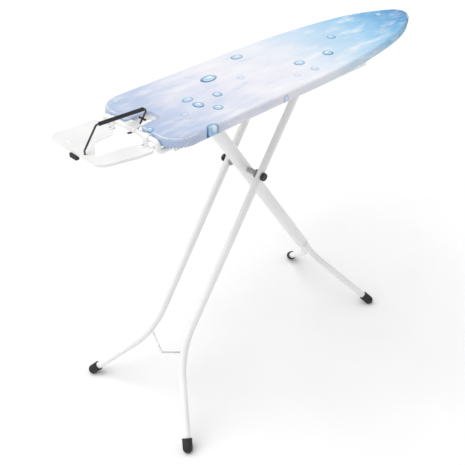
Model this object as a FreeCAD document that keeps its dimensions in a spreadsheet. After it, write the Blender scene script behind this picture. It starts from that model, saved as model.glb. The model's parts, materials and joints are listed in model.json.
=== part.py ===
import FreeCAD, Part
import math
import os
import Sketcher

# Folding ironing board.  +X runs from the wide end to the nose, +Y across, +Z up.
# The origin is on the floor, under the middle of the whole thing's length and width.
# The board stands on a scissor: one wide tube ends in a fork of two feet under the nose,
# and a pair of slim tubes has its feet under the wide end.  An iron tray hangs on a
# cross tube at the wide end, with a sleeved wire bar that the iron rests against.

doc = FreeCAD.newDocument("ironing_board")

# ---------------------------------------------------------------- driving sizes
SIZES = [
    # the top
    ("board_length", 1100), ("board_width", 300), ("board_height", 944),
    ("taper_length", 600), ("taper_radius", 2000), ("shoulder_length", 200), ("nose_radius", 42),
    ("corner_radius", 60), ("notch_width", 46), ("notch_depth", 68), ("notch_corner", 10), ("mouth_radius", 12),
    ("cover_thick", 1.2), ("skirt_depth", 26), ("pad_thick", 7), ("top_sheet", 0.8), ("rim_depth", 17),
    ("vent_diameter", 18), ("vent_rows", 3), ("vent_columns", 12), ("vent_pitch_x", 70), ("vent_pitch_y", 72),
    ("vent_start", 128),
    # the scissor
    ("hinge_x", 225), ("hinge_drop", 56), ("hinge_to_pivot", 273.4), ("leg_lean", 34.6),
    ("cap_radius", 14.5), ("cap_length", 42), ("cap_grip", 24),
    ("slim_diameter", 22), ("slim_wall", 1.2), ("slim_gap", 126), ("slim_top_over", 15),
    ("slim_bend_radius", 260), ("slim_bend_angle", 36), ("rear_spread", 446),
    ("main_diameter", 38), ("main_wall", 1.5), ("main_top_over", 21), ("collar_length", 26), ("collar_wall", 2),
    ("fork_space", 2), ("fork_lead", 2), ("fork_bend_radius", 170), ("fork_bend_angle", 40), ("front_spread", 368),
    ("axle_diameter", 10), ("running_gap", 0.05), ("free_gap", 0.3),
    ("spacer_diameter", 26), ("spacer_disc", 4), ("spacer_gap", 0.5), ("spacer_wall", 3),
    ("axle_cap_diameter", 24), ("axle_cap_length", 9),
    ("axle_cap_rounding", 3),
    ("tie_diameter", 5), ("tie_height", 78), ("tie_drop", 42), ("tie_bend", 12),
    # hinge bracket and slide rails under the top
    ("plate_thick", 2), ("bracket_length", 60), ("bracket_below", 12), ("bracket_flange", 16),
    ("rail_inset", 88), ("rail_flange", 16), ("rail_margin", 20), ("rail_below", 4), ("slot_play", 0.6),
    ("slide_travel", 236),
    ("bush_diameter", 18), ("bush_width", 6), ("clip_diameter", 16), ("clip_width", 1.5), ("rod_over", 6),
    ("rivet_diameter", 5), ("rivet_head", 9), ("rivet_head_height", 1.6),
    # the brake that locks the slide
    ("strip_width", 14), ("lock_side", 36), ("lock_gap", 16.2), ("lock_reach", 30),
    ("lock_pin_diameter", 5), ("lock_pin_rise", 22.3), ("cam_radius", 16), ("cam_throw", 4),
    ("lever_length", 96), ("lever_width", 9), ("lever_depth", 8), ("lever_drop", 4), ("grip_length", 52),
    ("grip_thick", 14), ("grip_over", 6), ("grip_rounding", 4), ("spring_wire", 1), ("spring_radius", 4.2),
    # the iron tray
    ("cross_diameter", 14), ("cross_wall", 1.2), ("cross_stand_off", 2.5), ("cross_drop", 12.5),
    ("cross_span", 200), ("cross_leg_drop", 39), ("cross_leg_reach", 150), ("cross_bend", 12),
    ("saddle_length", 18), ("saddle_front_x", 34), ("saddle_rear_x", 108), ("saddle_wall", 3),
    ("saddle_over", 3),
    ("tray_drop", 30), ("tray_sheet", 1.5), ("tray_rim", 7), ("rear_reach", 160),
    ("lug_width", 16), ("lug_side", 63), ("lug_thick", 2), ("lug_foot", 12), ("tongue_reach", 54), ("tongue_width", 10),
    ("tongue_gap", 1), ("saddle_side", 1), ("stop_gap", 0.4),
    ("wire_diameter", 5), ("sleeve_diameter", 10), ("ring_diameter", 20), ("ring_wire", 5),
    ("bar_rear_x", -103), ("bar_front_x", 41), ("bar_rear_rise", 32), ("bar_front_rise", 23),
    ("buffer_width", 26), ("buffer_thick", 9), ("buffer_height", 11), ("buffer_side", 31),
    ("guide_width", 44), ("guide_flange", 12), ("guide_sheet", 1.5), ("guide_slot", 20),
    ("guide_slot_width", 2.5),
    ("channel_depth", 12), ("channel_width", 22), ("channel_span", 190), ("rear_channel_x", 330),
    ("front_channel_x", 860),
]

sizes = doc.addObject("Spreadsheet::Sheet", "Sizes")
for row, (alias, number) in enumerate(SIZES, start=1):
    sizes.set(f"A{row}", alias.replace("_", " "))
    sizes.set(f"B{row}", str(number))
    sizes.setAlias(f"B{row}", alias)
doc.recompute()

# ---------------------------------------------------------------- places worked out from the sizes
# "end_x" is where the wide end stands; every other place along X is counted from it.
PLACES = [
    ("end_x", "=-(Sizes.board_length - Sizes.rear_reach) / 2"),
    ("cover_under", "=Sizes.board_height - Sizes.cover_thick"),
    ("pad_under", "=cover_under - Sizes.pad_thick"),
    ("sheet_under", "=pad_under - Sizes.top_sheet"),
    ("rim_under", "=pad_under - Sizes.rim_depth"),
    ("skirt_under", "=Sizes.board_height - Sizes.skirt_depth"),
    # scissor: A is the fixed hinge, P the crossing, T the sliding top, all in one frame
    ("lean_sin", "=sin(Sizes.leg_lean * 1deg)"),
    ("lean_cos", "=cos(Sizes.leg_lean * 1deg)"),
    ("hinge_px", "=end_x + Sizes.hinge_x"),
    ("hinge_pz", "=Sizes.board_height - Sizes.hinge_drop"),
    ("pivot_px", "=hinge_px + Sizes.hinge_to_pivot * lean_sin"),
    ("pivot_pz", "=hinge_pz - Sizes.hinge_to_pivot * lean_cos"),
    ("slide_px", "=hinge_px + 2 * Sizes.hinge_to_pivot * lean_sin"),
    ("leg_axial", "=(hinge_pz - Sizes.cap_radius) / lean_cos"),
    ("slim_half", "=Sizes.slim_gap / 2"),
    ("slim_run", "=(Sizes.rear_spread / 2 - slim_half - Sizes.slim_bend_radius"
                 " * (1 - cos(Sizes.slim_bend_angle * 1deg))) / sin(Sizes.slim_bend_angle * 1deg)"),
    ("slim_straight", "=leg_axial - Sizes.slim_bend_radius * sin(Sizes.slim_bend_angle * 1deg)"
                      " - slim_run * cos(Sizes.slim_bend_angle * 1deg)"),
    ("fork_half", "=(Sizes.slim_diameter + Sizes.fork_space) / 2"),
    ("fork_run", "=(Sizes.front_spread / 2 - fork_half - Sizes.fork_bend_radius"
                 " * (1 - cos(Sizes.fork_bend_angle * 1deg))) / sin(Sizes.fork_bend_angle * 1deg)"),
    ("fork_start", "=leg_axial - Sizes.fork_lead - Sizes.fork_bend_radius * sin(Sizes.fork_bend_angle * 1deg)"
                   " - fork_run * cos(Sizes.fork_bend_angle * 1deg)"),
    ("main_length", "=fork_start - Sizes.collar_length"),
    ("axle_radius", "=Sizes.axle_diameter / 2"),
    ("slim_radius", "=Sizes.slim_diameter / 2"),
    ("main_radius", "=Sizes.main_diameter / 2"),
    # iron tray
    ("cross_radius", "=Sizes.cross_diameter / 2"),
    ("cross_px", "=end_x - Sizes.cross_stand_off - cross_radius"),
    ("cross_pz", "=Sizes.board_height - Sizes.cross_drop"),
    ("cross_leg_pz", "=Sizes.board_height - Sizes.cross_leg_drop"),
    ("cross_half", "=Sizes.cross_span / 2"),
    ("saddle_inner", "=cross_half - cross_radius - Sizes.saddle_side"),
    ("tongue_inner", "=saddle_inner - Sizes.tongue_gap - Sizes.tongue_width"),
    ("tray_top", "=Sizes.board_height - Sizes.tray_drop"),
    ("tray_under", "=tray_top - Sizes.tray_sheet"),
    # brake
    ("lock_px", "=slide_px - Sizes.lock_reach"),
    ("lock_pz", "=hinge_pz + Sizes.lock_pin_rise"),
    ("strip_under", "=lock_pz + Sizes.cam_radius + Sizes.free_gap"),
]

places = doc.addObject("Spreadsheet::Sheet", "Places")
for row, (alias, formula) in enumerate(PLACES, start=1):
    places.set(f"A{row}", alias.replace("_", " "))
    places.set(f"B{row}", formula)
    places.setAlias(f"B{row}", alias)
    doc.recompute()


def number(text):
    """The value of an expression on the two sheets, as a plain number."""
    result = places.evalExpression(text)
    return float(getattr(result, "Value", result))


def size(alias):
    return float(sizes.get(alias))


def place_of(alias):
    return float(places.get(alias))


# ---------------------------------------------------------------- helpers that make bound objects
made = {}
AXIS_TURN = {"z": ("0; 0; 1", "0"), "x": ("0; 1; 0", "90"), "y": ("1; 0; 0", "-90")}


def unique(name):
    made[name] = made.get(name, 0) + 1
    return f"{name}_{made[name]}"


def bind(item, **expressions):
    for field, text in expressions.items():
        item.setExpression(field, text)


def put(item, base, axis="0; 0; 1", angle="0", frame=None):
    """Bind a Placement: a base point, a turn about an axis, and the object it is counted from."""
    text = f"placement(vector({base[0]}; {base[1]}; {base[2]}); rotation(vector({axis}); {angle}))"
    if frame:
        text = f"{frame.Name}.Placement * {text}"
    item.setExpression("Placement", text)


def block(name, base, extent, frame=None):
    """A box from its lowest corner and its length, width and height."""
    item = doc.addObject("Part::Box", unique(name))
    bind(item, Length=extent[0], Width=extent[1], Height=extent[2])
    put(item, base, frame=frame)
    return item


def bar(name, base, radius, length, along="z", frame=None):
    """A cylinder from the middle of its first face, along one axis."""
    item = doc.addObject("Part::Cylinder", unique(name))
    bind(item, Radius=radius, Height=length)
    axis, angle = AXIS_TURN[along]
    put(item, base, axis, angle, frame)
    return item


def cut(name, base, *tools):
    result = base
    for tool in tools:
        step = doc.addObject("Part::Cut", unique(name))
        step.Base = result
        step.Tool = tool
        result = step
    return result


def join(name, *pieces):
    item = doc.addObject("Part::MultiFuse", unique(name))
    item.Shapes = list(pieces)
    item.Refine = True
    return item


def together(name, pieces):
    """Separate solids that share one node, such as rivets."""
    item = doc.addObject("Part::Compound", unique(name))
    item.Links = list(pieces)
    return item


nodes = {}


def node(label, item):
    """Name a finished piece; the label is its file's name."""
    item.Label = label
    nodes[label] = item
    return item


def origin_plane(body, role):
    return [feature for feature in body.Origin.OriginFeatures if feature.Role == role][0]


def sketch_in(body, role, name):
    sketch = body.newObject("Sketcher::SketchObject", unique(name))
    sketch.AttachmentSupport = (origin_plane(body, role), [""])
    sketch.MapMode = "FlatFace"
    return sketch


def draw_path(sketch, stretches):
    """Lines and arcs, end to end and tangent, from the origin straight down the sketch.

    A run is ("run", length); a bend is ("bend", radius, angle), positive to the left.
    """
    x, y, heading = 0.0, 0.0, math.radians(-90)
    last = None
    for stretch in stretches:
        if stretch[0] == "run":
            length = number(stretch[1])
            end_x = x + length * math.cos(heading)
            end_y = y + length * math.sin(heading)
            line = Part.LineSegment(FreeCAD.Vector(x, y, 0), FreeCAD.Vector(end_x, end_y, 0))
            index = sketch.addGeometry(line, False)
            first_point, last_point = 1, 2
            rule = sketch.addConstraint(Sketcher.Constraint("Distance", index, length))
            sketch.setExpression(f"Constraints[{rule}]", stretch[1])
            x, y = end_x, end_y
        else:
            radius = number(stretch[1])
            angle = math.radians(number(stretch[2]))
            side = math.copysign(1.0, angle)
            centre_x = x - side * radius * math.sin(heading)
            centre_y = y + side * radius * math.cos(heading)
            start = heading - side * math.pi / 2
            circle = Part.Circle(FreeCAD.Vector(centre_x, centre_y, 0), FreeCAD.Vector(0, 0, 1), radius)
            low, high = sorted((start, start + angle))
            index = sketch.addGeometry(Part.ArcOfCircle(circle, low, high), False)
            first_point, last_point = (1, 2) if side > 0 else (2, 1)
            rule = sketch.addConstraint(Sketcher.Constraint("Radius", index, radius))
            sketch.setExpression(f"Constraints[{rule}]", stretch[1])
            rule = sketch.addConstraint(Sketcher.Constraint("Angle", index, abs(angle)))
            sketch.setExpression(f"Constraints[{rule}]", f"abs({stretch[2]}) * 1deg")
            heading += angle
            x = centre_x + side * radius * math.sin(heading)
            y = centre_y - side * radius * math.cos(heading)
        if last is None:
            sketch.addConstraint(Sketcher.Constraint("Coincident", index, first_point, -1, 1))
            sketch.addConstraint(Sketcher.Constraint("Vertical", index))
        else:
            sketch.addConstraint(Sketcher.Constraint("Tangent", last[0], last[1], index, first_point))
        last = (index, last_point)


def bent_tube(name, stretches, radius, inner=None):
    """A PartDesign body: a round tube or wire swept along a flat path that starts straight down."""
    body = doc.addObject("PartDesign::Body", unique(name))
    doc.recompute()
    path = sketch_in(body, "YZ_Plane", name + "_path")
    draw_path(path, stretches)
    ring = sketch_in(body, "XY_Plane", name + "_ring")
    for text in filter(None, (radius, inner)):
        circle = Part.Circle(FreeCAD.Vector(0, 0, 0), FreeCAD.Vector(0, 0, 1), number(text))
        index = ring.addGeometry(circle, False)
        ring.addConstraint(Sketcher.Constraint("Coincident", index, 3, -1, 1))
        rule = ring.addConstraint(Sketcher.Constraint("Radius", index, number(text)))
        ring.setExpression(f"Constraints[{rule}]", text)
    doc.recompute()
    pipe = body.newObject("PartDesign::AdditivePipe", unique(name + "_pipe"))
    pipe.Profile = ring
    pipe.Spine = (path, [])
    body.Tip = pipe
    return body


def rounded_path(points, bend_radius):
    """Straight runs through the points, joined by arcs of one radius: a wire or tube's centre line."""
    edges = []
    start = points[0]
    for before, corner, after in zip(points, points[1:], points[2:]):
        back = (before - corner).normalize()
        ahead = (after - corner).normalize()
        half = back.getAngle(ahead) / 2
        reach = bend_radius / math.tan(half)
        centre = corner + (back + ahead).normalize() * (bend_radius / math.sin(half))
        arc_start = corner + back * reach
        arc_end = corner + ahead * reach
        arc_middle = centre + (corner - centre).normalize() * bend_radius
        edges.append(Part.LineSegment(start, arc_start).toShape())
        edges.append(Part.Arc(arc_start, arc_middle, arc_end).toShape())
        start = arc_end
    edges.append(Part.LineSegment(start, points[-1]).toShape())
    return Part.Wire(edges)


def swept(path, radius):
    """A round solid along a path that isn't flat or doesn't start straight."""
    first = path.Edges[0]
    start = first.valueAt(first.FirstParameter)
    ring = Part.Wire(Part.makeCircle(radius, start, first.tangentAt(first.FirstParameter)))
    return path.makePipeShell([ring], True, True)


def held(label, shape):
    """A Part::Feature for a shape that no bound object makes well."""
    item = doc.addObject("Part::Feature", unique(label))
    item.Shape = shape
    return item


# ---------------------------------------------------------------- the top: outline, sheet, pad, cover
def board_outline():
    """Half the outline from the notch to the nose, in arcs and lines, and its mirror image."""
    length = size("board_length")
    half = size("board_width") / 2
    big = size("taper_radius")
    nose = size("nose_radius")
    taper = length - size("taper_length")
    corner = size("corner_radius")
    notch_half = size("notch_width") / 2
    depth = size("notch_depth")
    inner = size("notch_corner")
    mouth = size("mouth_radius")
    # the taper arc leaves the straight side; the shoulder arc touches it and the nose arc
    slope = math.asin((size("taper_length") - size("shoulder_length")) / big)
    join_x = taper + big * math.sin(slope)
    join_y = half - big * (1 - math.cos(slope))
    nose_x = length - nose
    run_x = nose_x - join_x
    reach = join_y * math.cos(slope) - run_x * math.sin(slope) - nose
    shoulder = (run_x ** 2 + join_y ** 2 - nose ** 2) / (2 * reach)
    centre_x = join_x - shoulder * math.sin(slope)
    centre_y = join_y - shoulder * math.cos(slope)
    turn = math.atan2(nose_x - centre_x, -centre_y)
    middle = (slope + turn) / 2

    def at(x, y):
        return FreeCAD.Vector(x, y, 0)

    def on(cx, cy, radius, angle):
        """A point of a circle, by the slope of the outline there."""
        return at(cx + radius * math.sin(angle), cy + radius * math.cos(angle))

    eighth = math.sqrt(0.5)
    upper = [
        (at(depth, 0), at(depth, notch_half - inner)),
        (at(depth, notch_half - inner), at(depth - inner + inner * eighth, notch_half - inner + inner * eighth),
         at(depth - inner, notch_half)),
        (at(depth - inner, notch_half), at(mouth, notch_half)),
        (at(mouth, notch_half), at(mouth - mouth * eighth, notch_half + mouth - mouth * eighth),
         at(0, notch_half + mouth)),
        (at(0, notch_half + mouth), at(0, half - corner)),
        (at(0, half - corner), at(corner - corner * eighth, half - corner + corner * eighth), at(corner, half)),
        (at(corner, half), at(taper, half)),
        (at(taper, half), on(taper, half - big, big, slope / 2), at(join_x, join_y)),
        (at(join_x, join_y), on(centre_x, centre_y, shoulder, middle), on(nose_x, 0, nose, turn)),
        (on(nose_x, 0, nose, turn), on(nose_x, 0, nose, (turn + math.pi / 2) / 2), at(length, 0)),
    ]
    edges = []
    for side in (1, -1):
        for points in upper:
            ends = [FreeCAD.Vector(point.x, side * point.y, 0) for point in points]
            curve = Part.LineSegment(*ends) if len(ends) == 2 else Part.Arc(*ends)
            edges.append(curve.toShape())
    return Part.Face(Part.Wire(Part.__sortEdges__(edges)))


outline = held("board_outline", board_outline())


def layer(name, inset, low, height):
    """The board's outline, taken in by an inset and raised to a slab."""
    source = outline
    if inset:
        source = doc.addObject("Part::Offset2D", unique(name + "_outline"))
        source.Source = outline
        source.Join = 0
        source.Fill = False
        bind(source, Value=f"-({inset})")
    slab = doc.addObject("Part::Extrusion", unique(name))
    slab.Base = source
    slab.DirMode = "Custom"
    slab.Dir = FreeCAD.Vector(0, 0, 1)
    slab.Solid = True
    bind(slab, LengthFwd=height)
    put(slab, ("Places.end_x", "0", low))
    return slab


cover_outer = layer("cover_outer", None, "Places.skirt_under", "Sizes.skirt_depth")
cover_hollow = layer("cover_hollow", "Sizes.cover_thick", "Places.skirt_under - 1",
                     "Sizes.skirt_depth + 1 - Sizes.cover_thick")
node("cover", cut("cover", cover_outer, cover_hollow))
node("foam_pad", layer("foam_pad", "Sizes.cover_thick", "Places.pad_under", "Sizes.pad_thick"))

sheet_flat = layer("sheet_flat", "Sizes.cover_thick", "Places.sheet_under", "Sizes.top_sheet")
vent_holes = []
for column in range(int(size("vent_columns"))):
    for row in range(int(size("vent_rows"))):
        across = row - (size("vent_rows") - 1) / 2
        staggered = f"{column} * Sizes.vent_pitch_x"
        vent_holes.append(bar(
            "vent",
            (f"Places.end_x + Sizes.vent_start + {staggered}", f"{across} * Sizes.vent_pitch_y", "Places.sheet_under - 1"),
            "Sizes.vent_diameter / 2", "Sizes.top_sheet + 2"))
vents = together("vents", vent_holes)
node("top_sheet", cut("top_sheet", sheet_flat, vents))

# The sheet's turned-down rim is modelled in lengths, so that the space inside it stays open.
RIM_HEIGHT = "(Places.sheet_under - Places.rim_under)"
rim_outer = layer("rim_outer", "Sizes.cover_thick", "Places.rim_under", RIM_HEIGHT)
rim_inner = layer("rim_inner", "Sizes.cover_thick + Sizes.top_sheet", "Places.rim_under - 1", f"{RIM_HEIGHT} + 2")
rim_ring = cut("rim_ring", rim_outer, rim_inner)
NOTCH_SIDE = "(Sizes.notch_width / 2 + Sizes.mouth_radius + Sizes.cover_thick + Sizes.top_sheet)"
NOTCH_END = "(Sizes.notch_depth + Sizes.mouth_radius)"
SIDE_REACH = "Sizes.board_width"
TAPER_START = "(Sizes.board_length - Sizes.taper_length)"
SHOULDER_START = "(Sizes.board_length - Sizes.shoulder_length)"
RIM_LENGTHS = [
    # name, where it starts and ends from the wide end, and how far from the middle line
    ("corner", "-1", "Sizes.corner_radius", NOTCH_SIDE),
    ("side", "Sizes.corner_radius", TAPER_START, NOTCH_SIDE),
    ("taper", TAPER_START, f"({TAPER_START} + {SHOULDER_START}) / 2", "0"),
    ("flank", f"({TAPER_START} + {SHOULDER_START}) / 2", SHOULDER_START, "0"),
    ("shoulder", SHOULDER_START, "Sizes.board_length - Sizes.nose_radius", "0"),
    ("nose", "Sizes.board_length - Sizes.nose_radius", "Sizes.board_length + 1", "0"),
    ("notch_side", "-1", "Sizes.notch_depth - Sizes.notch_corner", "0"),
    ("notch_end", "Sizes.notch_depth - Sizes.notch_corner", NOTCH_END, "0"),
]
rim_pieces = []
for name, start, end, inner_y in RIM_LENGTHS:
    outer_y = NOTCH_SIDE if name.startswith("notch") else SIDE_REACH
    for side in (1, -1):
        low_y = inner_y if side > 0 else f"-({outer_y})"
        window = block(f"rim_{name}_window", (f"Places.end_x + {start}", low_y, "Places.rim_under - 1"),
                       (f"{end} - ({start})", f"{outer_y} - ({inner_y})", f"{RIM_HEIGHT} + 2"))
        length = doc.addObject("Part::Common", unique(f"rim_{name}"))
        length.Base = rim_ring
        length.Tool = window
        rim_pieces.append(length)
node("sheet_rim", together("sheet_rim", rim_pieces))


# ---------------------------------------------------------------- fixed hinge of the wide leg
MAIN_EAR = "(Places.main_radius + Sizes.free_gap)"
hinge_plate = block(
    "hinge_plate",
    ("Places.hinge_px - Sizes.bracket_length / 2", f"-{MAIN_EAR} - Sizes.plate_thick - Sizes.bracket_flange",
     "Places.sheet_under - Sizes.plate_thick"),
    ("Sizes.bracket_length", f"2 * ({MAIN_EAR} + Sizes.plate_thick + Sizes.bracket_flange)", "Sizes.plate_thick"))
hinge_ears = []
for side, low_y in ((1, MAIN_EAR), (-1, f"-{MAIN_EAR} - Sizes.plate_thick")):
    ear = block(
        "hinge_ear",
        ("Places.hinge_px - Sizes.bracket_length / 4", low_y, "Places.hinge_pz - Sizes.bracket_below"),
        ("Sizes.bracket_length / 2", "Sizes.plate_thick",
         "Places.sheet_under - Places.hinge_pz + Sizes.bracket_below"))
    hinge_ears.append(ear)
hinge_bore = bar("hinge_bore", ("Places.hinge_px", "-Sizes.main_diameter", "Places.hinge_pz"),
                 "Places.axle_radius", "2 * Sizes.main_diameter", "y")
node("hinge_bracket", cut("hinge_bracket", join("hinge_bracket_body", hinge_plate, *hinge_ears), hinge_bore))
HINGE_PIN_HALF = f"({MAIN_EAR} + Sizes.plate_thick)"
hinge_shank = bar("hinge_shank", ("Places.hinge_px", f"-{HINGE_PIN_HALF}", "Places.hinge_pz"),
                  "Places.axle_radius", f"2 * {HINGE_PIN_HALF}", "y")
hinge_heads = [
    bar("hinge_head", ("Places.hinge_px", low_y, "Places.hinge_pz"), "Sizes.axle_diameter * 0.8",
        "Sizes.plate_thick", "y")
    for low_y in (HINGE_PIN_HALF, f"-{HINGE_PIN_HALF} - Sizes.plate_thick")]
node("hinge_pin", join("hinge_pin", hinge_shank, *hinge_heads))

# ---------------------------------------------------------------- slide rails
SLOT_HALF = "(Sizes.bush_diameter / 2 + Sizes.slot_play / 2)"
RAIL_START = "(Places.slide_px - Sizes.rail_margin - Sizes.bush_diameter / 2)"
RAIL_LENGTH = "(Sizes.slide_travel + 2 * Sizes.rail_margin + Sizes.bush_diameter)"
RAIL_UNDER = "(Places.hinge_pz - Sizes.bush_diameter / 2 - Sizes.rail_below)"
RAIL_FACE = {1: "Sizes.rail_inset", -1: "-Sizes.rail_inset - Sizes.plate_thick"}
RAIL_FLANGE = {1: "Sizes.rail_inset", -1: "-Sizes.rail_inset - Sizes.rail_flange"}
SIDE_NAMES = {1: "left", -1: "right"}
rail_rivets = []
for side, side_name in SIDE_NAMES.items():
    web = block("rail_web", (RAIL_START, RAIL_FACE[side], RAIL_UNDER),
                (RAIL_LENGTH, "Sizes.plate_thick", f"Places.sheet_under - {RAIL_UNDER}"))
    flange = block("rail_flange", (RAIL_START, RAIL_FLANGE[side], "Places.sheet_under - Sizes.plate_thick"),
                   (RAIL_LENGTH, "Sizes.rail_flange", "Sizes.plate_thick"))
    slot = block("rail_slot", ("Places.slide_px", f"{RAIL_FACE[side]} - 1", f"Places.hinge_pz - {SLOT_HALF}"),
                 ("Sizes.slide_travel", "Sizes.plate_thick + 2", f"2 * {SLOT_HALF}"))
    slot_ends = [
        bar("slot_end", (end, f"{RAIL_FACE[side]} - 1", "Places.hinge_pz"), SLOT_HALF, "Sizes.plate_thick + 2", "y")
        for end in ("Places.slide_px", "Places.slide_px + Sizes.slide_travel")]
    node(f"slide_rail_{side_name}",
         cut("slide_rail", join("slide_rail_body", web, flange), join("rail_slot_tool", slot, *slot_ends)))
    for share in (0.1, 0.5, 0.9):
        rail_rivets.append(bar(
            "rail_rivet",
            (f"{RAIL_START} + {share} * {RAIL_LENGTH}",
             f"{side} * (Sizes.rail_inset + Sizes.plate_thick + (Sizes.rail_flange - Sizes.plate_thick) / 2)",
             "Places.sheet_under - Sizes.plate_thick - Sizes.rivet_head_height"),
            "Sizes.rivet_head / 2", "Sizes.rivet_head_height"))
for end in (-1, 1):
    for side in (-1, 1):
        rail_rivets.append(bar(
            "bracket_rivet",
            (f"Places.hinge_px + {end} * Sizes.bracket_length / 3",
             f"{side} * ({MAIN_EAR} + Sizes.plate_thick + Sizes.bracket_flange / 2)",
             "Places.sheet_under - Sizes.plate_thick - Sizes.rivet_head_height"),
            "Sizes.rivet_head / 2", "Sizes.rivet_head_height"))
node("underside_rivets", together("underside_rivets", rail_rivets))

# ---------------------------------------------------------------- leg frames
# Each leg is drawn in its own frame: the top hinge at the origin, the leg down -Z.
slim_frame = doc.addObject("Part::Feature", "slim_frame")
put(slim_frame, ("Places.slide_px", "0", "Places.hinge_pz"), "0; 1; 0", "Sizes.leg_lean")
main_frame = doc.addObject("Part::Feature", "main_frame")
put(main_frame, ("Places.hinge_px", "0", "Places.hinge_pz"), "0; 1; 0", "-Sizes.leg_lean")


def foot_cap(label, frame, spread, angle, tube_radius):
    """A rubber cap on the end of a bent tube, domed where it meets the floor."""
    def in_leg(item, along):
        text = (f"{frame.Name}.Placement * placement(vector(0; {spread}; -Places.leg_axial);"
                f" rotation(vector(1; 0; 0); {angle})) * placement(vector(0; 0; {along}); rotation(vector(0; 0; 1); 0))")
        item.setExpression("Placement", text)
        return item
    shell = doc.addObject("Part::Cylinder", unique("cap_shell"))
    bind(shell, Radius="Sizes.cap_radius", Height="Sizes.cap_length - Sizes.cap_radius")
    in_leg(shell, "0")
    dome = doc.addObject("Part::Sphere", unique("cap_dome"))
    bind(dome, Radius="Sizes.cap_radius")
    in_leg(dome, "0")
    socket = doc.addObject("Part::Cylinder", unique("cap_socket"))
    bind(socket, Radius=tube_radius, Height="Sizes.cap_length")
    in_leg(socket, "Sizes.cap_length - Sizes.cap_radius - Sizes.cap_grip")
    lip = doc.addObject("Part::Torus", unique("cap_lip"))
    bind(lip, Radius1="Sizes.cap_radius - 1", Radius2="1.6")
    in_leg(lip, "Sizes.cap_length - Sizes.cap_radius - 2.5")
    return node(label, cut(label, join(label, shell, dome, lip), socket))


TUBE_END = "(Sizes.cap_length - Sizes.cap_radius - Sizes.cap_grip)"

# ---------------------------------------------------------------- slim legs, their feet and tie wire
BORE_OVER = "(Sizes.slim_diameter + 2)"
for side, side_name in SIDE_NAMES.items():
    tube = bent_tube(
        f"slim_leg_{side_name}",
        [("run", "Places.slim_straight + Sizes.slim_top_over"),
         ("bend", "Sizes.slim_bend_radius", f"{side} * Sizes.slim_bend_angle"),
         ("run", f"Places.slim_run - {TUBE_END}")],
        "Places.slim_radius", "Places.slim_radius - Sizes.slim_wall")
    put(tube, ("0", f"{side} * Places.slim_half", "Sizes.slim_top_over"), frame=slim_frame)
    bores = [
        bar("slim_bore", ("0", f"{side} * Places.slim_half - {BORE_OVER} / 2", low_z),
            "Places.axle_radius + Sizes.running_gap", BORE_OVER, "y", slim_frame)
        for low_z in ("0", "-Sizes.hinge_to_pivot")]
    node(f"slim_leg_{side_name}", cut(f"slim_leg_{side_name}", tube, *bores))
    foot_cap(f"rear_foot_{side_name}", slim_frame, f"{side} * Sizes.rear_spread / 2",
             f"{side} * Sizes.slim_bend_angle", "Places.slim_radius")


def tie_wire():
    """The bent wire between the slim legs, cut back to their walls."""
    down = place_of("slim_straight") + size("tie_height")
    radius = size("slim_bend_radius")
    side_y = place_of("slim_half") + radius - math.sqrt(radius ** 2 - size("tie_height") ** 2)
    points = [FreeCAD.Vector(0, side_y, -down),
              FreeCAD.Vector(0, 0, -down - size("tie_drop")),
              FreeCAD.Vector(0, -side_y, -down)]
    wire = swept(rounded_path(points, size("tie_bend")), size("tie_diameter") / 2)
    for side in (1, -1):
        ring_centre = FreeCAD.Vector(0, side * (place_of("slim_half") + radius), -place_of("slim_straight"))
        tube = Part.makeTorus(radius, place_of("slim_radius"), ring_centre, FreeCAD.Vector(1, 0, 0))
        wire = wire.cut(tube)
    return max(wire.Solids, key=lambda solid: solid.Volume)


tie = held("tie_wire", tie_wire())
put(tie, ("0", "0", "0"), frame=slim_frame)
node("tie_wire", tie)

# ---------------------------------------------------------------- wide leg, its fork and feet
main_outer = bar("main_outer", ("0", "0", "-Places.main_length"), "Places.main_radius",
                 "Places.main_length + Sizes.main_top_over", frame=main_frame)
main_inner = bar("main_inner", ("0", "0", "-Places.main_length - 1"), "Places.main_radius - Sizes.main_wall",
                 "Places.main_length + Sizes.main_top_over + 2", frame=main_frame)
main_bores = [
    bar("main_bore", ("0", "-Sizes.main_diameter", low_z), reach, "2 * Sizes.main_diameter", "y", main_frame)
    for low_z, reach in (("0", "Places.axle_radius + Sizes.running_gap"),
                         ("-Sizes.hinge_to_pivot", "Places.axle_radius"))]
node("wide_leg", cut("wide_leg", main_outer, main_inner, *main_bores))

COLLAR_RADIUS = "(Places.slim_radius + Sizes.collar_wall)"
collar_pieces = [block("collar_web", (f"-{COLLAR_RADIUS}", "-Places.fork_half", "-Places.fork_start"),
                       (f"2 * {COLLAR_RADIUS}", "2 * Places.fork_half", "Sizes.collar_length"), main_frame)]
for side in (1, -1):
    collar_pieces.append(bar("collar_side", ("0", f"{side} * Places.fork_half", "-Places.fork_start"),
                             COLLAR_RADIUS, "Sizes.collar_length", frame=main_frame))
collar_pieces.append(bar("collar_plug", ("0", "0", "-Places.main_length - Sizes.collar_length / 3"),
                         "Places.main_radius", "Sizes.collar_length / 3", frame=main_frame))
node("fork_collar", join("fork_collar", *collar_pieces))

for side, side_name in SIDE_NAMES.items():
    arm = bent_tube(
        f"fork_arm_{side_name}",
        [("run", "Sizes.fork_lead"),
         ("bend", "Sizes.fork_bend_radius", f"{side} * Sizes.fork_bend_angle"),
         ("run", f"Places.fork_run - {TUBE_END}")],
        "Places.slim_radius", "Places.slim_radius - Sizes.slim_wall")
    put(arm, ("0", f"{side} * Places.fork_half", "-Places.fork_start"), frame=main_frame)
    node(f"fork_arm_{side_name}", arm)
    foot_cap(f"front_foot_{side_name}", main_frame, f"{side} * Sizes.front_spread / 2",
             f"{side} * Sizes.fork_bend_angle", "Places.slim_radius")

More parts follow.
